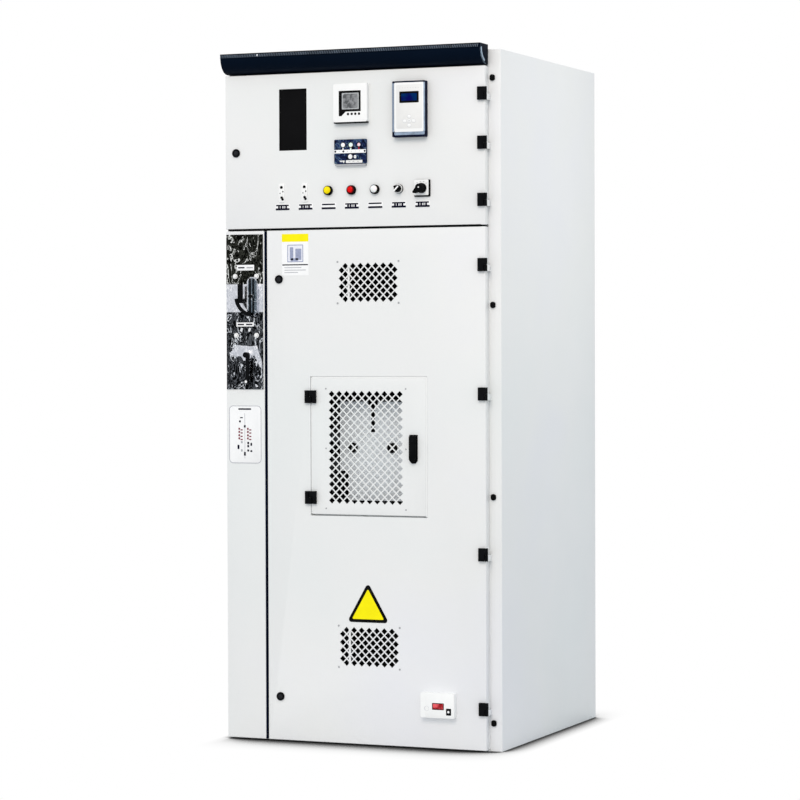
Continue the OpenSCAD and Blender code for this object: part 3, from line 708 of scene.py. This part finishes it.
def make_relay():
    width, _, height = size("protection_relay")
    out = 24.0
    lcd = (2.5, 37.0)
    piece = Piece("protection_relay_detail", front("protection_relay"))
    back_part(piece, "protection_relay", 8, 9, out)
    piece.plate(rounded(width, height, 3), -out, -2.6, F["relay_navy"], bevel=1.0)
    piece.plate(rounded(width - 12, height - 21, 3, 1.5, 5.5), -2.8, -0.8, F["white"], bevel=1.8,
                segments=3)
    # The bottom sill and the right strip are a darker blue than the left strip: painted shade on the
    # frame's lower and right sides.
    piece.plate(rounded(width - 9, 10.5, 2, 3.2, -height / 2 + 11.5), -2.8, -1.2, F["relay_frame_painted_shade"],
                bevel=3.0, segments=3)
    piece.plate(rounded(4.4, height - 22, 1, width / 2 - 2.4, 5.5), -2.8, -1.0, F["relay_frame_painted_shade"], bevel=0.4)
    piece.plate(rounded(2.6, height - 22, 1, -width / 2 + 3.6, 5.5), -2.8, -1.0, F["relay_blue"], bevel=0.4)
    piece.plate(rounded(width - 24, height - 38, 4, 2.5, 7), -1.0, -0.55, F["panel"], bevel=0.3)
    piece.plate(rounded(66, 36, 2, *lcd), -0.9, 0, F["black_gloss"], [rounded(53, 23, 1, *lcd)], 0.4)
    piece.plate(rounded(54, 24, 1, *lcd), -0.9, -0.3, F["lcd_blue"])
    for i in range(8):
        piece.turned([(1.4, -0.7), (1.3, -0.4), (0, -0.3)], F["print_faint"], -29 + i * 9.0, 66.0, 12)
    for u, v in ((0, 0), (15, 0), (-15, 0), (0, 14), (0, -14)):
        piece.plate(rounded(13, 11.5, 4, u + 2.5, v - 38), -0.7, -0.4, F["print_faint"], bevel=0.1)
        piece.plate(rounded(11, 9.5, 3, u + 2.5, v - 38), -0.6, -0.05, F["white"], bevel=0.5)
    piece.turned([(2.3, -0.2), (2.0, -0.05), (0, 0)], F["print_grey"], 2.5, -38, 16)
    piece.replace("protection_relay")


def make_presence():
    width, _, height = size("presence_indicator")
    out = 12.0
    piece = Piece("presence_indicator_detail", front("presence_indicator"))
    back_part(piece, "presence_indicator", 9, 8, out)
    piece.plate(rounded(width, height - 7, 2.5, 0, 3.5), -out, -1.5, F["indicator"], bevel=1.6, segments=3)
    # A grey strip along the foot, under the blue moulding: painted shadow.
    piece.plate(rounded(width - 4, 5.5, 1.5, 1, -height / 2 + 2.8), -out, -1.8, F["print_grey"], bevel=0.6)
    for u, lens_name in ((-24.3, "lens_white"), (2.8, "lens_green"), (30.8, "lens_pink")):
        piece.turned([(9.0, -1.7), (9.0, -0.6), (8.2, -0.4), (6.8, -0.9)], F["black"], u, 24.3, 24)
        radius = 5.4 if lens_name == "lens_pink" else 7.0
        piece.turned([(radius + 0.2, -1.6), (radius, -0.8), (radius - 2, -0.2), (0, 0)], F[lens_name], u,
                     24.3, 24)
        piece.plate(rounded(3.6, 11, 1, u, 12.7), -1.6, -1.1,
                    F["lens_red" if lens_name == "lens_pink" else lens_name])
    piece.plate(rounded(width, 11, 1.0, 0, 3.6), -1.6, -1.0, F["label"])
    for u in (-51, -23, 51):
        piece.turned([(3.4, -1.1), (3.2, -0.7), (0, -0.6)], F["print"], u, 3.9, 14)
    for u in (-37, -9, 5, 19, 33):
        piece.turned([(1.2, -1.1), (1.1, -0.8), (0, -0.75)], F["print_grey"], u, 3.9, 12)
    piece.turned([(10.4, -1.7), (10.4, -0.5), (9.4, -0.2), (7.4, -0.8)], F["black"], 1.1, -13.2, 28)
    piece.turned([(7.8, -1.6), (7.4, -0.6), (6.0, -0.2), (0, 0)], F["lens_white"], 1.1, -13.2, 28)
    piece.plate(rounded(8, 10, 3, 17.5, -13.7), -1.6, -1.0, F["label"], [disc(1.4, 17.5, -13.7, 12)])
    piece.plate([(-37, -25), (-31, -31), (-27, -27), (-23, -33), (-19, -30), (-19, -25)], -1.6, -1.0,
                F["panel"])
    piece.plate(rounded(57, 9, 1.5, 14.4, -28.8), -1.6, -1.0, F["panel"])
    for u in (-2, 12, 28):
        piece.plate(rounded(6, 1.8, 0.8, u, -28.5), -1.1, -0.8, F["print_grey"])
    piece.replace("presence_indicator")


LAMP_RADIUS = 15.0


def row_pitch():
    """The distance between the middles of two neighbours in the row, from the first and the last lamp."""
    return (size("indicator_lamps").x - 2 * LAMP_RADIUS) / 2


def make_row():
    """Links, lamps and labels, all on the instrument door's row."""
    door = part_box("instrument_door")[0].y
    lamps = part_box("indicator_lamps")
    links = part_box("trip_links")
    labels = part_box("instrument_labels")
    row = (lamps[0].z + lamps[1].z) / 2
    first = lamps[0].x + LAMP_RADIUS * MM
    pitch = row_pitch()
    piece = Piece("indicator_lamps_detail", Vector((first, door, row)))
    for i, name in enumerate(("lens_yellow", "lens_red", "lens_white")):
        u = i * pitch
        piece.turned([(11, -55), (11, -1), (0, -1)], F["black"], u, 0, 24)
        piece.turned([(11, -1.5), (15, 0), (15, 10.5), (14.4, 11.5), (13.4, 12.0), (12.6, 10.5), (0, 10.2)],
                     F["black"], u, 0)
        # The lens sits left of and above the bezel's middle, so black bezel shows as a crescent at its
        # lower right: painted shade.
        piece.turned([(11.6, 10.0), (11.4, 11.6), (8.6, 13.6), (5.0, 14.8), (0, 15.2)], F[name], u - 1.2,
                     1.3)
        if name == "lens_red":
            piece.turned([(11.8, 10.0), (11.6, 11.8), (9.0, 13.8), (8.6, 13.4)], F["lens_deep"], u - 1.2,
                         1.3)
    piece.replace("indicator_lamps")

    piece = Piece("trip_links_detail", Vector((links[0].x + 0.01, door, (links[0].z + links[1].z) / 2)))
    for i in range(2):
        u = i * pitch
        piece.plate(rounded(20, 60, 4, u, 0), 0, 3.4, F["white"], bevel=1.2)
        piece.turned([(4.7, 3.2), (4.5, 6.0), (3.6, 6.9), (0, 7.0)], F["black"], u + 0.3, 17.8, 24)
        for dot, du, v in ((4.2, 1.4, -15.0), (3.9, 4.6, -20.6)):
            piece.turned([(dot, 3.2), (dot - 0.2, 6.4), (dot - 1, 7.4), (0, 7.5)], F["black"], u + du, v,
                         24)
        piece.plate(rounded(6, 28, 2, u + 0.6, 0.5), 3.2, 5.6, F["white"], bevel=0.8)
        for du, v in ((-4.0, -1.3), (5.2, 4)):
            piece.turned([(2.3, 3.2), (2.1, 4.4), (0, 4.5)], F["zinc_dark"], u + du, v, 14)
    piece.replace("trip_links")

    width, height = (labels[1].x - labels[0].x) / MM - 6 * pitch, (labels[1].z - labels[0].z) / MM
    corner = Vector((labels[0].x, labels[1].y, labels[0].z))
    piece = Piece("instrument_label_strips", corner + Vector((width / 2, 0, height / 2)) * MM)
    for i in range(7):
        u = i * pitch
        piece.plate(rounded(width, height, 1.2, u, 0), 0, 1.0, F["label"], bevel=0.3)
        piece.plate(rounded(width - 6, 4.6, 1.2, u - 0.5, 6.0), 0.9, 1.4, F["print"], bevel=0.2)
        piece.plate(rounded(width - 2, 6.2, 1.6, u, -6.2), 0.9, 1.4, F["print"], bevel=0.2)
        for k in () if i in (2, 4) else (-13, -4.5, 4, 12.5):
            piece.plate(rounded(6.5, 7.5, 1.6, u + k, 0), 0.9, 1.2, F["print_grey" if k == 4 else "print"])
    piece.replace("instrument_labels")


def make_switches():
    low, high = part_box("switch_plates")
    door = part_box("instrument_door")[0].y
    row = (low.z + high.z) / 2
    side = (high.z - low.z) / MM
    piece = Piece("selector_bezel", Vector((low.x + LAMP_RADIUS * MM, door, row)))
    piece.turned([(6.0, -55), (11, -55), (11, -1), (15, 0), (15, 4.6), (14.2, 5.4)], F["black"])
    piece.turned([(14.4, 4.0), (14.0, 5.8), (11.6, 6.2), (11.4, 5.0), (6.0, 4.8), (6.0, -50)], F["white"])
    piece.replace("switch_plates")

    piece = Piece("cam_switch_plate", Vector((low.x + (LAMP_RADIUS + row_pitch()) * MM, door, row)))
    # The white plate sits up and to the left on the black one, so black shows along its right and lower
    # edges: painted shade.
    piece.plate(rounded(side, side, 3), 0, 5.0, F["black"], [disc(6.5, steps=32)], 0.8)
    piece.plate(rounded(side - 5, side - 5, 2.5, -2.2, 2.2), 4.6, 6.0, F["white"], [disc(6.5, steps=32)],
                0.6)
    piece.block((-10, 10), (-10, 10), (-60, -0.5), F["black"], 1.0)
    for u, v in ((-16, 17), (-5, 20.5), (6, 20.5), (15, 15)):
        piece.plate(rounded(5.0, 1.8, 0.6, u, v), 5.9, 6.1, F["print_grey"])
    piece.join("switch_plates")

    soften("cam_switch_knob", F["black"], 1.4, outer=False)
    soften("selector_knob", F["black"], 1.0, outer=False)
    piece = Piece("selector_pointer", front("selector_knob"))
    k = math.sqrt(0.5)
    line = [(-10.2, -2.3), (10.2, -2.3), (10.2, 2.3), (-10.2, 2.3)]
    piece.plate([(k * (u - v), k * (u + v)) for u, v in line], -0.2, 0.4, F["label"])
    piece.join("selector_knob")
    # A white dot on the black knob: a painted highlight.
    low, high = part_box("cam_switch_knob")
    piece = Piece("cam_switch_knob_painted_highlight", Vector((high.x - 0.016, low.y, high.z - 0.016)))
    piece.turned([(2.2, -0.2), (2.0, 0.25), (0, 0.4)], F["label"], -1.5, 2.0, 16)
    piece.join("cam_switch_knob")


# ---------------------------------------------------------------- the main door


def make_door_fittings():
    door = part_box("main_door")[0].y
    piece = Piece("notice_plate_film", front("notice_plate"))
    width, _, height = size("notice_plate")
    piece.plate(rounded(width, height, 2), -0.8, -0.4, F["label"])
    piece.plate(rounded(width, 25, 1.5, 0, height / 2 - 12.5), -0.5, -0.25, F["sign_yellow"])
    piece.plate(rounded(56, 56, 1.5, 0.5, 4), -0.5, -0.3, F["sign_tint"])
    piece.plate(rounded(56, 56, 1.5, 0.5, 4), -0.4, -0.15, F["sign_blue"], [rounded(51, 51, 1, 0.5, 4)])
    piece.plate(rounded(21, 36, 2, 11.5, 1), -0.4, -0.2, F["sign_blue"])
    piece.plate(rounded(12, 42, 2, -12.5, 3), -0.4, -0.2, F["sign_blue"])
    piece.plate(rounded(26, 9, 2, -2, -16), -0.4, -0.2, F["sign_blue"])
    piece.plate(rounded(width - 3, 3.6, 0.6, 0, -32.5), -0.5, -0.2, F["print"])
    for v, u, w in ((-41.5, -8, 60), (-49.5, 0, 76), (-57, -14, 48)):
        piece.plate(rounded(w, 2.4, 0.8, u, v), -0.5, -0.3, F["print_pale"])
    piece.replace("notice_plate")

    low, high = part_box("triangle_plate")
    width, height = (high.x - low.x) / MM, (high.z - low.z) / MM
    piece = Piece("triangle_plate_film", Vector(((low.x + high.x) / 2, high.y, low.z)))
    radius, border = 8.5, 10.0
    half, top = width / 2 + 0.7 * radius, height + 1.06 * radius
    piece.plate(round_corners([(-half, 0), (half, 0), (0, top)], radius), 0, 0.9, F["black"], bevel=0.2)
    inner = half - 1.7 * border
    piece.plate(round_corners([(-inner, border), (inner, border), (0, top - 2.06 * border)], 3.0), 0.8,
                1.15,
                F["sign_yellow"])
    piece.replace("triangle_plate")

    low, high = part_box("vent_grilles")
    side = (high.x - low.x) / MM / 2 - 4.5
    piece = Piece("vent_screws", Vector(((low.x + high.x) / 2, door, 0)))
    tall = 141.0
    for v in (high.z / MM - tall / 2, low.z / MM + tall / 2):
        for su in (-1, 1):
            for sv in (-1, 1):
                piece.screw(su * side, v + sv * (tall / 2 - 4.5), 0, 3.4, F["painted_screw"],
                            su + sv * 0.7 + v)
    piece.join("vent_grilles")

    width, out, height = size("magnetic_lock")
    window, key, knob = (2.3, -3.2), (38.4, -19.2), (-36.1, -10.5)
    piece = Piece("magnetic_lock_detail", front("magnetic_lock"))
    piece.plate(rounded(width, height, 3), -out, -1.0, F["white"], bevel=2.0, segments=3)
    piece.plate(rounded(width - 19, height - 6, 3, 7, 0), -1.2, -0.4, F["white"], bevel=0.6)
    piece.turned([(8.4, -1.2), (8.2, -0.5), (7.2, -0.2), (6.6, -0.8)], F["print_faint"], *knob, 28)
    piece.turned([(6.8, -1.2), (6.4, -0.6), (0, -0.4)], F["white"], *knob, 28)
    piece.plate(rounded(40, 21.5, 2, *window), -0.6, 0, F["frame_red"], [rounded(35, 16.5, 1.5, *window)],
                0.3)
    piece.plate(rounded(35.6, 17.1, 1.5, *window), -0.6, -0.2, F["window_red"], bevel=0.2)
    piece.plate(rounded(17, 21.7, 1.5, *key), -0.6, -0.15, F["black"], bevel=0.3)
    piece.turned([(4.0, -0.3), (3.6, -0.05), (0, 0)], F["label"], key[0] - 0.8, key[1], 20)
    piece.replace("magnetic_lock")


def make_hatch_fittings():
    piece = Piece("hatch_rivets", front("hatch"))
    for u in (-147.5, 129):
        for v in (-199, -7, 184):
            piece.turned([(3.0, -0.2), (2.8, 0.5), (1.7, 1.0), (0, 1.2)], F["painted_screw"], u, v, 20)
    piece.join("hatch")
    side, top, hinged = 4.0, 4.5, 3.7
    width, _, height = size("hatch") / 2
    piece = Piece("hatch_gap_seal", front("hatch"))
    piece.block((width + 0.1, width + side), (-height - 3, height + side), (-4.0, -0.8), F["white"], 0.6)
    piece.block((-width - 2, width), (height + 0.1, height + top), (-5.0, -1.7), F["white"], 0.6)
    piece.block((-width - hinged, -width - 0.1), (-height + 2, height + 1), (-5.0, -2.2), F["white"], 0.6)
    piece.join("main_door")
    soften("handle_plate", F["black"], 0.8, outer=False)
    soften("hatch_handle", F["black"], 2.0, outer=False, segments=4)
    low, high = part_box("hatch_handle")
    piece = Piece("hatch_handle_hub", Vector(((low.x + high.x) / 2, low.y, high.z - 0.012)))
    piece.turned([(7.0, -0.4), (7.0, 0.8), (6.2, 1.4), (4.6, 1.6), (4.2, 0.9), (0, 0.9)], F["dark_zinc"],
                 0, 0, 28)
    piece.join("hatch_handle")


# ---------------------------------------------------------------- the mechanism column


def make_column():
    low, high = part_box("mechanism_plates")
    dial_low, dial_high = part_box("dial_housing")
    dial = Vector(((dial_low.x + dial_high.x) / 2, dial_high.y, (dial_low.z + dial_high.z) / 2))
    band_top = dial.z + 0.04
    band_h = 91.0
    width, height = (high.x - low.x) / MM, (high.z - low.z) / MM
    piece = Piece("mechanism_mirror_plates", Vector((low.x, high.y, low.z)))
    band = ((band_top - low.z) / MM - band_h, (band_top - low.z) / MM)
    piece.block((0, width), (0, band[0] - 0.3), (0, 3), F["mirror_low"], 0.5)
    piece.block((0, width), (band[0] + 0.3, band[1] - 0.3), (0, 3), F["chrome"], 0.5)
    piece.block((0, width), (band[1] + 0.3, height), (0, 3), F["mirror_high"], 0.5)
    for u, v in ((32, band[1] + 25), (108.6, band[1] + 25), (35.6, band[0] - 75), (107.7, band[0] - 75)):
        piece.turned([(8.2, 2.9), (8.2, 4.2), (7.2, 5.0), (5.6, 5.2)], F["white"], u, v, 32)
        piece.plate(disc(5.6, u, v, 6), 5.0, 7.6, F["white"], bevel=0.6)
    piece.replace("mechanism_plates")

    piece = Piece("dial_housing_detail", dial)
    piece.plate(stadium(36, 124), 0, 12, F["chrome"], bevel=3.5, segments=4)
    piece.plate(stadium(30, 118, 1.5, 0), 11.5, 14.2, F["chrome_dim"], bevel=1.5, segments=3)
    piece.turned([(7.0, 13.8), (6.6, 15.9), (0, 16.0)], F["steel"], 0, 0, 24)
    piece.replace("dial_housing")

    low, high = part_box("guide_plate")
    piece = Piece("guide_plate_detail", Vector((low.x + 0.061, high.y, low.z + 0.043)))
    crown = [(-35, 34), (-61, 7), (-57, -3), (-20, -3), (-14, -19), (12, -19), (25, 3), (35, -16),
             (44, -39),
             (53, -43), (51, -16), (41, 13), (35, 32), (10, 26), (-6, 32), (-17, 28)]
    piece.plate(crown, 0, 8, F["chrome"], bevel=1.8, segments=3)
    piece.turned([(17, 0), (17, 7.5), (15, 9.0), (9, 9.6), (0, 9.8)], F["chrome"], 0, 0, 36)
    piece.replace("guide_plate")

    low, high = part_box("column_labels")
    piece = Piece("column_label_prints", Vector((low.x, high.y, low.z)))
    label_w, label_h = 116.0, 187.5
    u0, v0 = 1.5, 3.0
    piece.plate(rounded(label_w, label_h, 14, label_w / 2, label_h / 2), 0, 0.7, F["label"], bevel=0.2)
    piece.plate(rounded(label_w - 0.6, label_h - 0.6, 14, label_w / 2, label_h / 2), 0.6, 0.85,
                F["print_pale"],
                [rounded(label_w - 5, label_h - 5, 12, label_w / 2, label_h / 2)])
    piece.plate(rounded(46, 5, 1.2, 55 + u0, 173 + v0), 0.6, 0.95, F["print"])
    piece.plate(rounded(1.6, 146, 0.4, 55 + u0, 86 + v0), 0.6, 0.9, F["print_pale"])
    for u, v, w, h in ((37.5, 133, 6.5, 6.5), (43, 145, 10, 3.4), (55, 117, 6.5, 7.5), (55, 28, 6.5, 12)):
        piece.plate(rounded(w, h, 1.2, u + u0, v + v0), 0.6, 0.95, F["print"])
    for v in (109, 99, 88, 78):
        for u in (35, 66):
            piece.plate(rounded(6, 7, 2, u + u0, v + v0), 0.6, 0.95, F["print_red"])
            piece.plate(rounded(8, 4, 1.4, u + 8.5 + u0, v - 3.5 + v0), 0.6, 0.95, F["print_red"])
    for u, v, w, h in ((67, 63, 6.5, 8), (67, 53, 6.5, 8), (78, 59, 6, 10), (67, 39, 7, 7), (78, 37, 7, 6),
                       (32, 50, 7, 14), (44, 66, 6, 8), (44, 39, 6, 8)):
        piece.plate(rounded(w, h, 2, u + u0, v + v0), 0.6, 0.95, F["print"] if u != 44 else F["print_grey"])
    top = (band_top - low.z) / MM
    for v, w, u, h in ((top + 53, 61, 63, 18), (top - band_h - 39.5, 62, 60.5, 13)):
        piece.plate(rounded(w, h, 1, u, v), 2.6, 3.7, F["label"], bevel=0.3)
        for k in (-15, 15):
            piece.plate(rounded(23, 4.4, 1.2, u + k, v), 3.6, 3.95,
                        F["print"] if k < 0 or v < top else F["print_grey"])
    for u in (48, 77):
        piece.plate([(u - 6, top - band_h - 60), (u + 1, top - band_h - 64), (u + 6, top - band_h - 52),
                     (u - 2, top - band_h - 50)], 2.9, 4.5, F["steel"], bevel=0.5)
    piece.replace("column_labels")

    soften("upper_lever", F["dark_zinc"], 0.8, outer=False)
    soften("lower_lever", F["dark_zinc"], 1.6, outer=False)
    low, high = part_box("lower_lever")
    piece = Piece("lower_lever_cap", Vector((high.x - 0.006, low.y, low.z + 0.006)))
    piece.turned([(4.6, -0.3), (4.2, 0.2), (0, 0.4)], F["label"], 0, 0, 20)
    piece.join("lower_lever")


# ---------------------------------------------------------------- fasteners on plain sides


def make_fasteners():
    low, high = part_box("rear_covers")
    width, height = (high.x - low.x) / MM, (high.z - low.z) / MM
    piece = Piece("rear_cover_screws", Vector((high.x, high.y, low.z)), back=True)
    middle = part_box("roof_panel")[1].z / MM / 2 - low.z / MM
    for v in (18, middle / 2, middle - 22, middle + 22, middle * 1.5, height - 18):
        for u in (14, width / 2, width - 14):
            piece.screw(u, v, 0, 4.5, F["zinc"], u + v)
    piece.block((6, width - 6), (middle - 9, middle + 9), (-5, -2.1), F["rubber"], 0.5)
    piece.join("rear_covers")

    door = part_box("instrument_door")[0]
    seam = (door.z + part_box("main_door")[1].z) / 2
    piece = Piece("seam_studs", Vector((door.x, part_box("left_side_sheet")[0].y - 0.003, seam)))
    for u in (27, 886):
        piece.turned([(4.5, 0), (4.5, 24), (3.6, 25), (0, 25.4)], F["black"], u, 0, 20)
    piece.join("door_seal")

    # A black strip fills the gap under the instrument door: painted shade in the gap.
    low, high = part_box("instrument_door")
    gap = (low.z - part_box("main_door")[1].z) / MM
    piece = Piece("instrument_door_gap_painted_shade", low.copy())
    piece.block((8, (high.x - low.x) / MM - 14), (0.6 - gap, 1.2), (-6, 0.4), F["black"], 0.3)
    piece.join("instrument_door")

    low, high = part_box("end_cover")
    door_low, door_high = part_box("main_door")
    piece = Piece("hinge_side_gasket", Vector((door_high.x, low.y, 0)))
    for bottom, top in ((door_low.z, door_high.z), (door.z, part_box("instrument_door")[1].z)):
        piece.block((-9, -0.5), (bottom / MM + 2, top / MM - 2), (0.3, 5.7), F["white"], 1.2)
    piece.join("door_seal")


# ---------------------------------------------------------------- floor, backdrop and light


FLOOR_TINT = (0.62, 0.62, 0.62)
SKY_TINT = (0.855, 0.915, 0.975)


def seen_rays(tree):
    """1 for the rays that show the backdrop: the camera's, mirrored ones and transmitted ones."""
    rays = add_node(tree, "ShaderNodeLightPath").outputs
    result = rays["Is Camera Ray"]
    for kind in ("Is Glossy Ray", "Is Transmission Ray"):
        result = add_node(tree, "ShaderNodeMath", {0: result, 1: rays[kind]},
                          operation="MAXIMUM").outputs[0]
    return result


def make_stage():
    """A pale floor that keeps the cabinet's shadow near it and is plain white further away."""
    half = 60.0
    mesh = bpy.data.meshes.new("floor")
    mesh.from_pydata([(-half, -half, -0.0005), (half, -half, -0.0005), (half, half, -0.0005),
                      (-half, half, -0.0005)],
                     [], [(0, 1, 2, 3)])
    floor = bpy.data.objects.new("floor", mesh)
    bpy.context.scene.collection.objects.link(floor)
    material = bpy.data.materials.new("pale_floor")
    material.use_nodes = True
    tree = material.node_tree
    tree.nodes.clear()
    near = add_node(tree, "ShaderNodeAmbientOcclusion", {"Distance": 0.24}, samples=16)
    curve = add_node(tree, "ShaderNodeValToRGB", {"Fac": near.outputs["AO"]})
    points = curve.color_ramp.elements
    points[0].position, points[0].color = 0.40, (0.01, 0.01, 0.01, 1)
    points[1].position, points[1].color = 0.97, (1, 1, 1, 1)
    for place, level in ((0.55, 0.07), (0.64, 0.45), (0.8, 0.88)):
        points.new(place).color = (level, level, level, 1)

    # The shadow fades out beside the cabinet, on its left and on its right.
    axes = add_node(tree, "ShaderNodeSeparateXYZ",
                    {0: add_node(tree, "ShaderNodeTexCoord").outputs["Object"]})
    fades = {}
    for side, (start, end, low, high) in enumerate(((-0.484, -0.448, 1.0, 0.0), (0.5, 0.575, 0.0, 1.0))):
        values = {"Value": axes.outputs["X"], "From Min": start, "From Max": end, "To Min": low,
                  "To Max": high}
        fades[side] = add_node(tree, "ShaderNodeMapRange", values).outputs["Result"]
    faded = add_node(tree, "ShaderNodeMath", fades, operation="MAXIMUM").outputs[0]
    values = {0: faded, 6: curve.outputs["Color"], 7: (1, 1, 1, 1)}
    shadow = add_node(tree, "ShaderNodeMix", values, data_type="RGBA").outputs[2]
    plain = add_node(tree, "ShaderNodeEmission", {"Color": shadow}).outputs[0]
    diffuse = add_node(tree, "ShaderNodeBsdfDiffuse", {"Color": FLOOR_TINT + (1,)}).outputs[0]
    blend = add_node(tree, "ShaderNodeMixShader", {0: seen_rays(tree), 1: diffuse, 2: plain})
    add_node(tree, "ShaderNodeOutputMaterial", {"Surface": blend.outputs[0]})
    mesh.materials.append(material)

    world = bpy.data.worlds.new("studio")
    world.use_nodes = True
    bpy.context.scene.world = world
    tree = world.node_tree
    values = {0: seen_rays(tree), 6: SKY_TINT + (1,), 7: (1, 1, 1, 1)}
    light = add_node(tree, "ShaderNodeMix", values, data_type="RGBA")
    tree.links.new(light.outputs[2], tree.nodes["Background"].inputs["Color"])


def make_lamp(name, place, target, width, height, power, colour=(1, 1, 1), spread=180):
    data = bpy.data.lights.new(name, "AREA")
    data.shape = "RECTANGLE"
    data.size, data.size_y, data.energy = width, height, power
    data.color = colour
    data.spread = math.radians(spread)
    lamp = bpy.data.objects.new(name, data)
    lamp.location = place
    lamp.rotation_euler = (Vector(target) - Vector(place)).to_track_quat("-Z", "Y").to_euler()
    bpy.context.scene.collection.objects.link(lamp)


bpy.context.scene.view_settings.view_transform = "Standard"
make_camera()
make_shell()
make_header()
make_header_end_highlight()
for lock in ("instrument_lock", "main_upper_lock", "main_lower_lock"):
    dress(F["dark_zinc"], lock)
    make_lock(lock)
make_window()
make_meter()
make_relay()
make_presence()
make_row()
make_switches()
make_door_fittings()
make_hatch_fittings()
make_column()
make_fasteners()
make_stage()
make_lamp("key", (1.5, -8.5, 7.0), (0, -0.45, 1.1), 5.0, 4.0, 350, (1.0, 0.86, 0.74))
make_lamp("low", (0.1, -1.7, 0.1), (0.1, -0.48, 0.03), 1.8, 0.1, 0.13, (1.0, 0.97, 0.92), 50)
make_lamp("side", (4.2, 0.75, 2.6), (0.49, 0.1, 1.98), 0.8, 0.8, 1.25, (1.0, 0.9, 0.72), 38)
